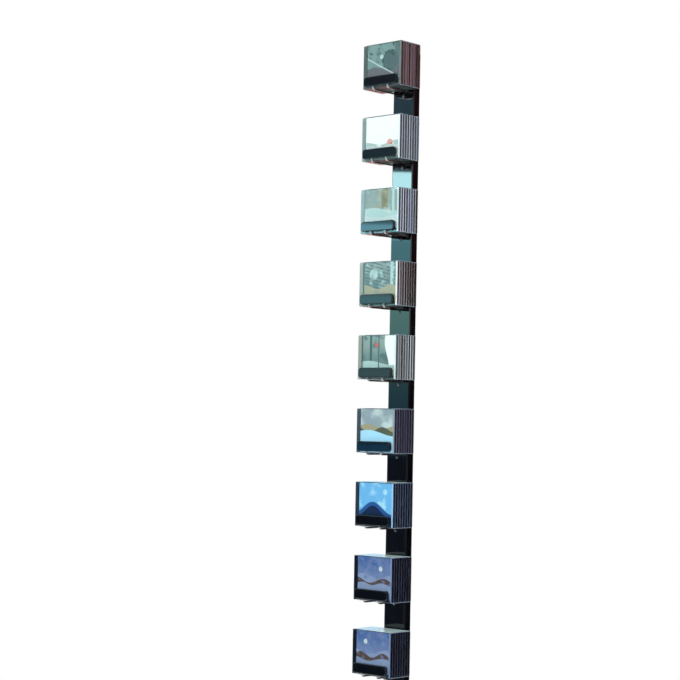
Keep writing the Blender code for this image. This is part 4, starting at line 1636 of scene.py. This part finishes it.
def add_world(studio):
    """White to the camera and to reflections, softer as light on the rack."""
    world = bpy.data.worlds.new("studio_world")
    bpy.context.scene.world = world
    world.use_nodes = True
    world.node_tree.nodes.clear()
    sky = Nodes(world.node_tree)
    rays = sky.node("LightPath").outputs
    seen = sky.math("MAXIMUM", rays["Is Camera Ray"], rays["Is Glossy Ray"])
    seen = sky.math("MAXIMUM", seen, rays["Is Transmission Ray"])
    first = sky.math("LESS_THAN", rays["Diffuse Depth"], FIRST_DIFFUSE)
    white = (1.0, 1.0, 1.0)
    soft = sky.node("Background", {"Color": white, "Strength": studio.ambient}).outputs[0]
    full = sky.node("Background", {"Color": white, "Strength": 1.0}).outputs[0]
    mix = sky.node("MixShader", {0: sky.math("MULTIPLY", seen, first), 1: soft, 2: full})
    sky.node("OutputWorld", {"Surface": mix.outputs[0]})


def add_camera():
    """Stand the camera where the rack is seen from its right, a little below its middle."""
    lens = bpy.data.cameras.new("camera")
    lens.lens = CAMERA_LENS
    lens.sensor_width = CAMERA_SENSOR
    camera = put("camera", lens)
    forward = (CAMERA_TARGET - CAMERA_PLACE).normalized()
    right = forward.cross(Vector((0.0, 0.0, 1.0))).normalized()
    turn = Matrix((right, right.cross(forward), -forward)).transposed()
    roll = Matrix.Rotation(CAMERA_ROLL, 3, "Z")
    camera.matrix_world = Matrix.Translation(CAMERA_PLACE) @ (turn @ roll).to_4x4()
    bpy.context.scene.camera = camera


class CDRACK_OT_studio(Operator):
    """Set up the floor, the light and the camera"""

    bl_idname = "cd_rack.studio"
    bl_label = "Studio"
    bl_options = {"REGISTER", "UNDO"}

    def execute(self, context):
        studio = context.scene.cd_rack_studio
        add_world(studio)
        add_floor(studio)
        middle = (CAD_BOX[0] + CAD_BOX[1]) / 2
        add_lamp("key_lamp", middle + KEY_PLACE, middle, KEY_SIZE, studio.key)
        add_lamp("fill_lamp", middle + FILL_PLACE, middle, FILL_SIZE, studio.fill)
        add_cards()
        add_camera()
        context.scene.view_settings.view_transform = "Standard"
        return {"FINISHED"}


GROUPS = {
    "cd_rack_column": ColumnSizes,
    "cd_rack_holders": HolderSizes,
    "cd_rack_cases": CaseSizes,
    "cd_rack_finishes": RackFinishes,
    "cd_rack_studio": StudioSizes,
}
STEPS = (
    CDRACK_OT_column,
    CDRACK_OT_caps,
    CDRACK_OT_plated_steel,
    CDRACK_OT_cradles,
    CDRACK_OT_lips,
    CDRACK_OT_screws,
    CDRACK_OT_front_cases,
    CDRACK_OT_case_packs,
    CDRACK_OT_studio,
)


class CDRACK_PT_sidebar(Panel):
    """Buttons and sizes of the rack"""

    bl_idname = "CDRACK_PT_sidebar"
    bl_label = "Wall CD Rack"
    bl_space_type = "VIEW_3D"
    bl_region_type = "UI"
    bl_category = "CD Rack"

    def draw(self, context):
        for step in STEPS:
            self.layout.operator(step.bl_idname)
        for name, group in GROUPS.items():
            box = self.layout.box()
            for field in group.__annotations__:
                box.prop(getattr(context.scene, name), field)


def register():
    """Register the settings, the operators and the panel."""
    for name, group in GROUPS.items():
        bpy.utils.register_class(group)
        setattr(bpy.types.Scene, name, PointerProperty(type=group))
    for cls in (*STEPS, CDRACK_PT_sidebar):
        bpy.utils.register_class(cls)


def unregister():
    """Remove the panel, the operators and the settings."""
    for cls in (CDRACK_PT_sidebar, *reversed(STEPS)):
        bpy.utils.unregister_class(cls)
    for name, group in reversed(GROUPS.items()):
        delattr(bpy.types.Scene, name)
        bpy.utils.unregister_class(group)


def main():
    """Build every piece and the studio."""
    register()
    for step in STEPS:
        family, name = step.bl_idname.split(".")
        getattr(getattr(bpy.ops, family), name)()


if __name__ == "__main__":
    main()
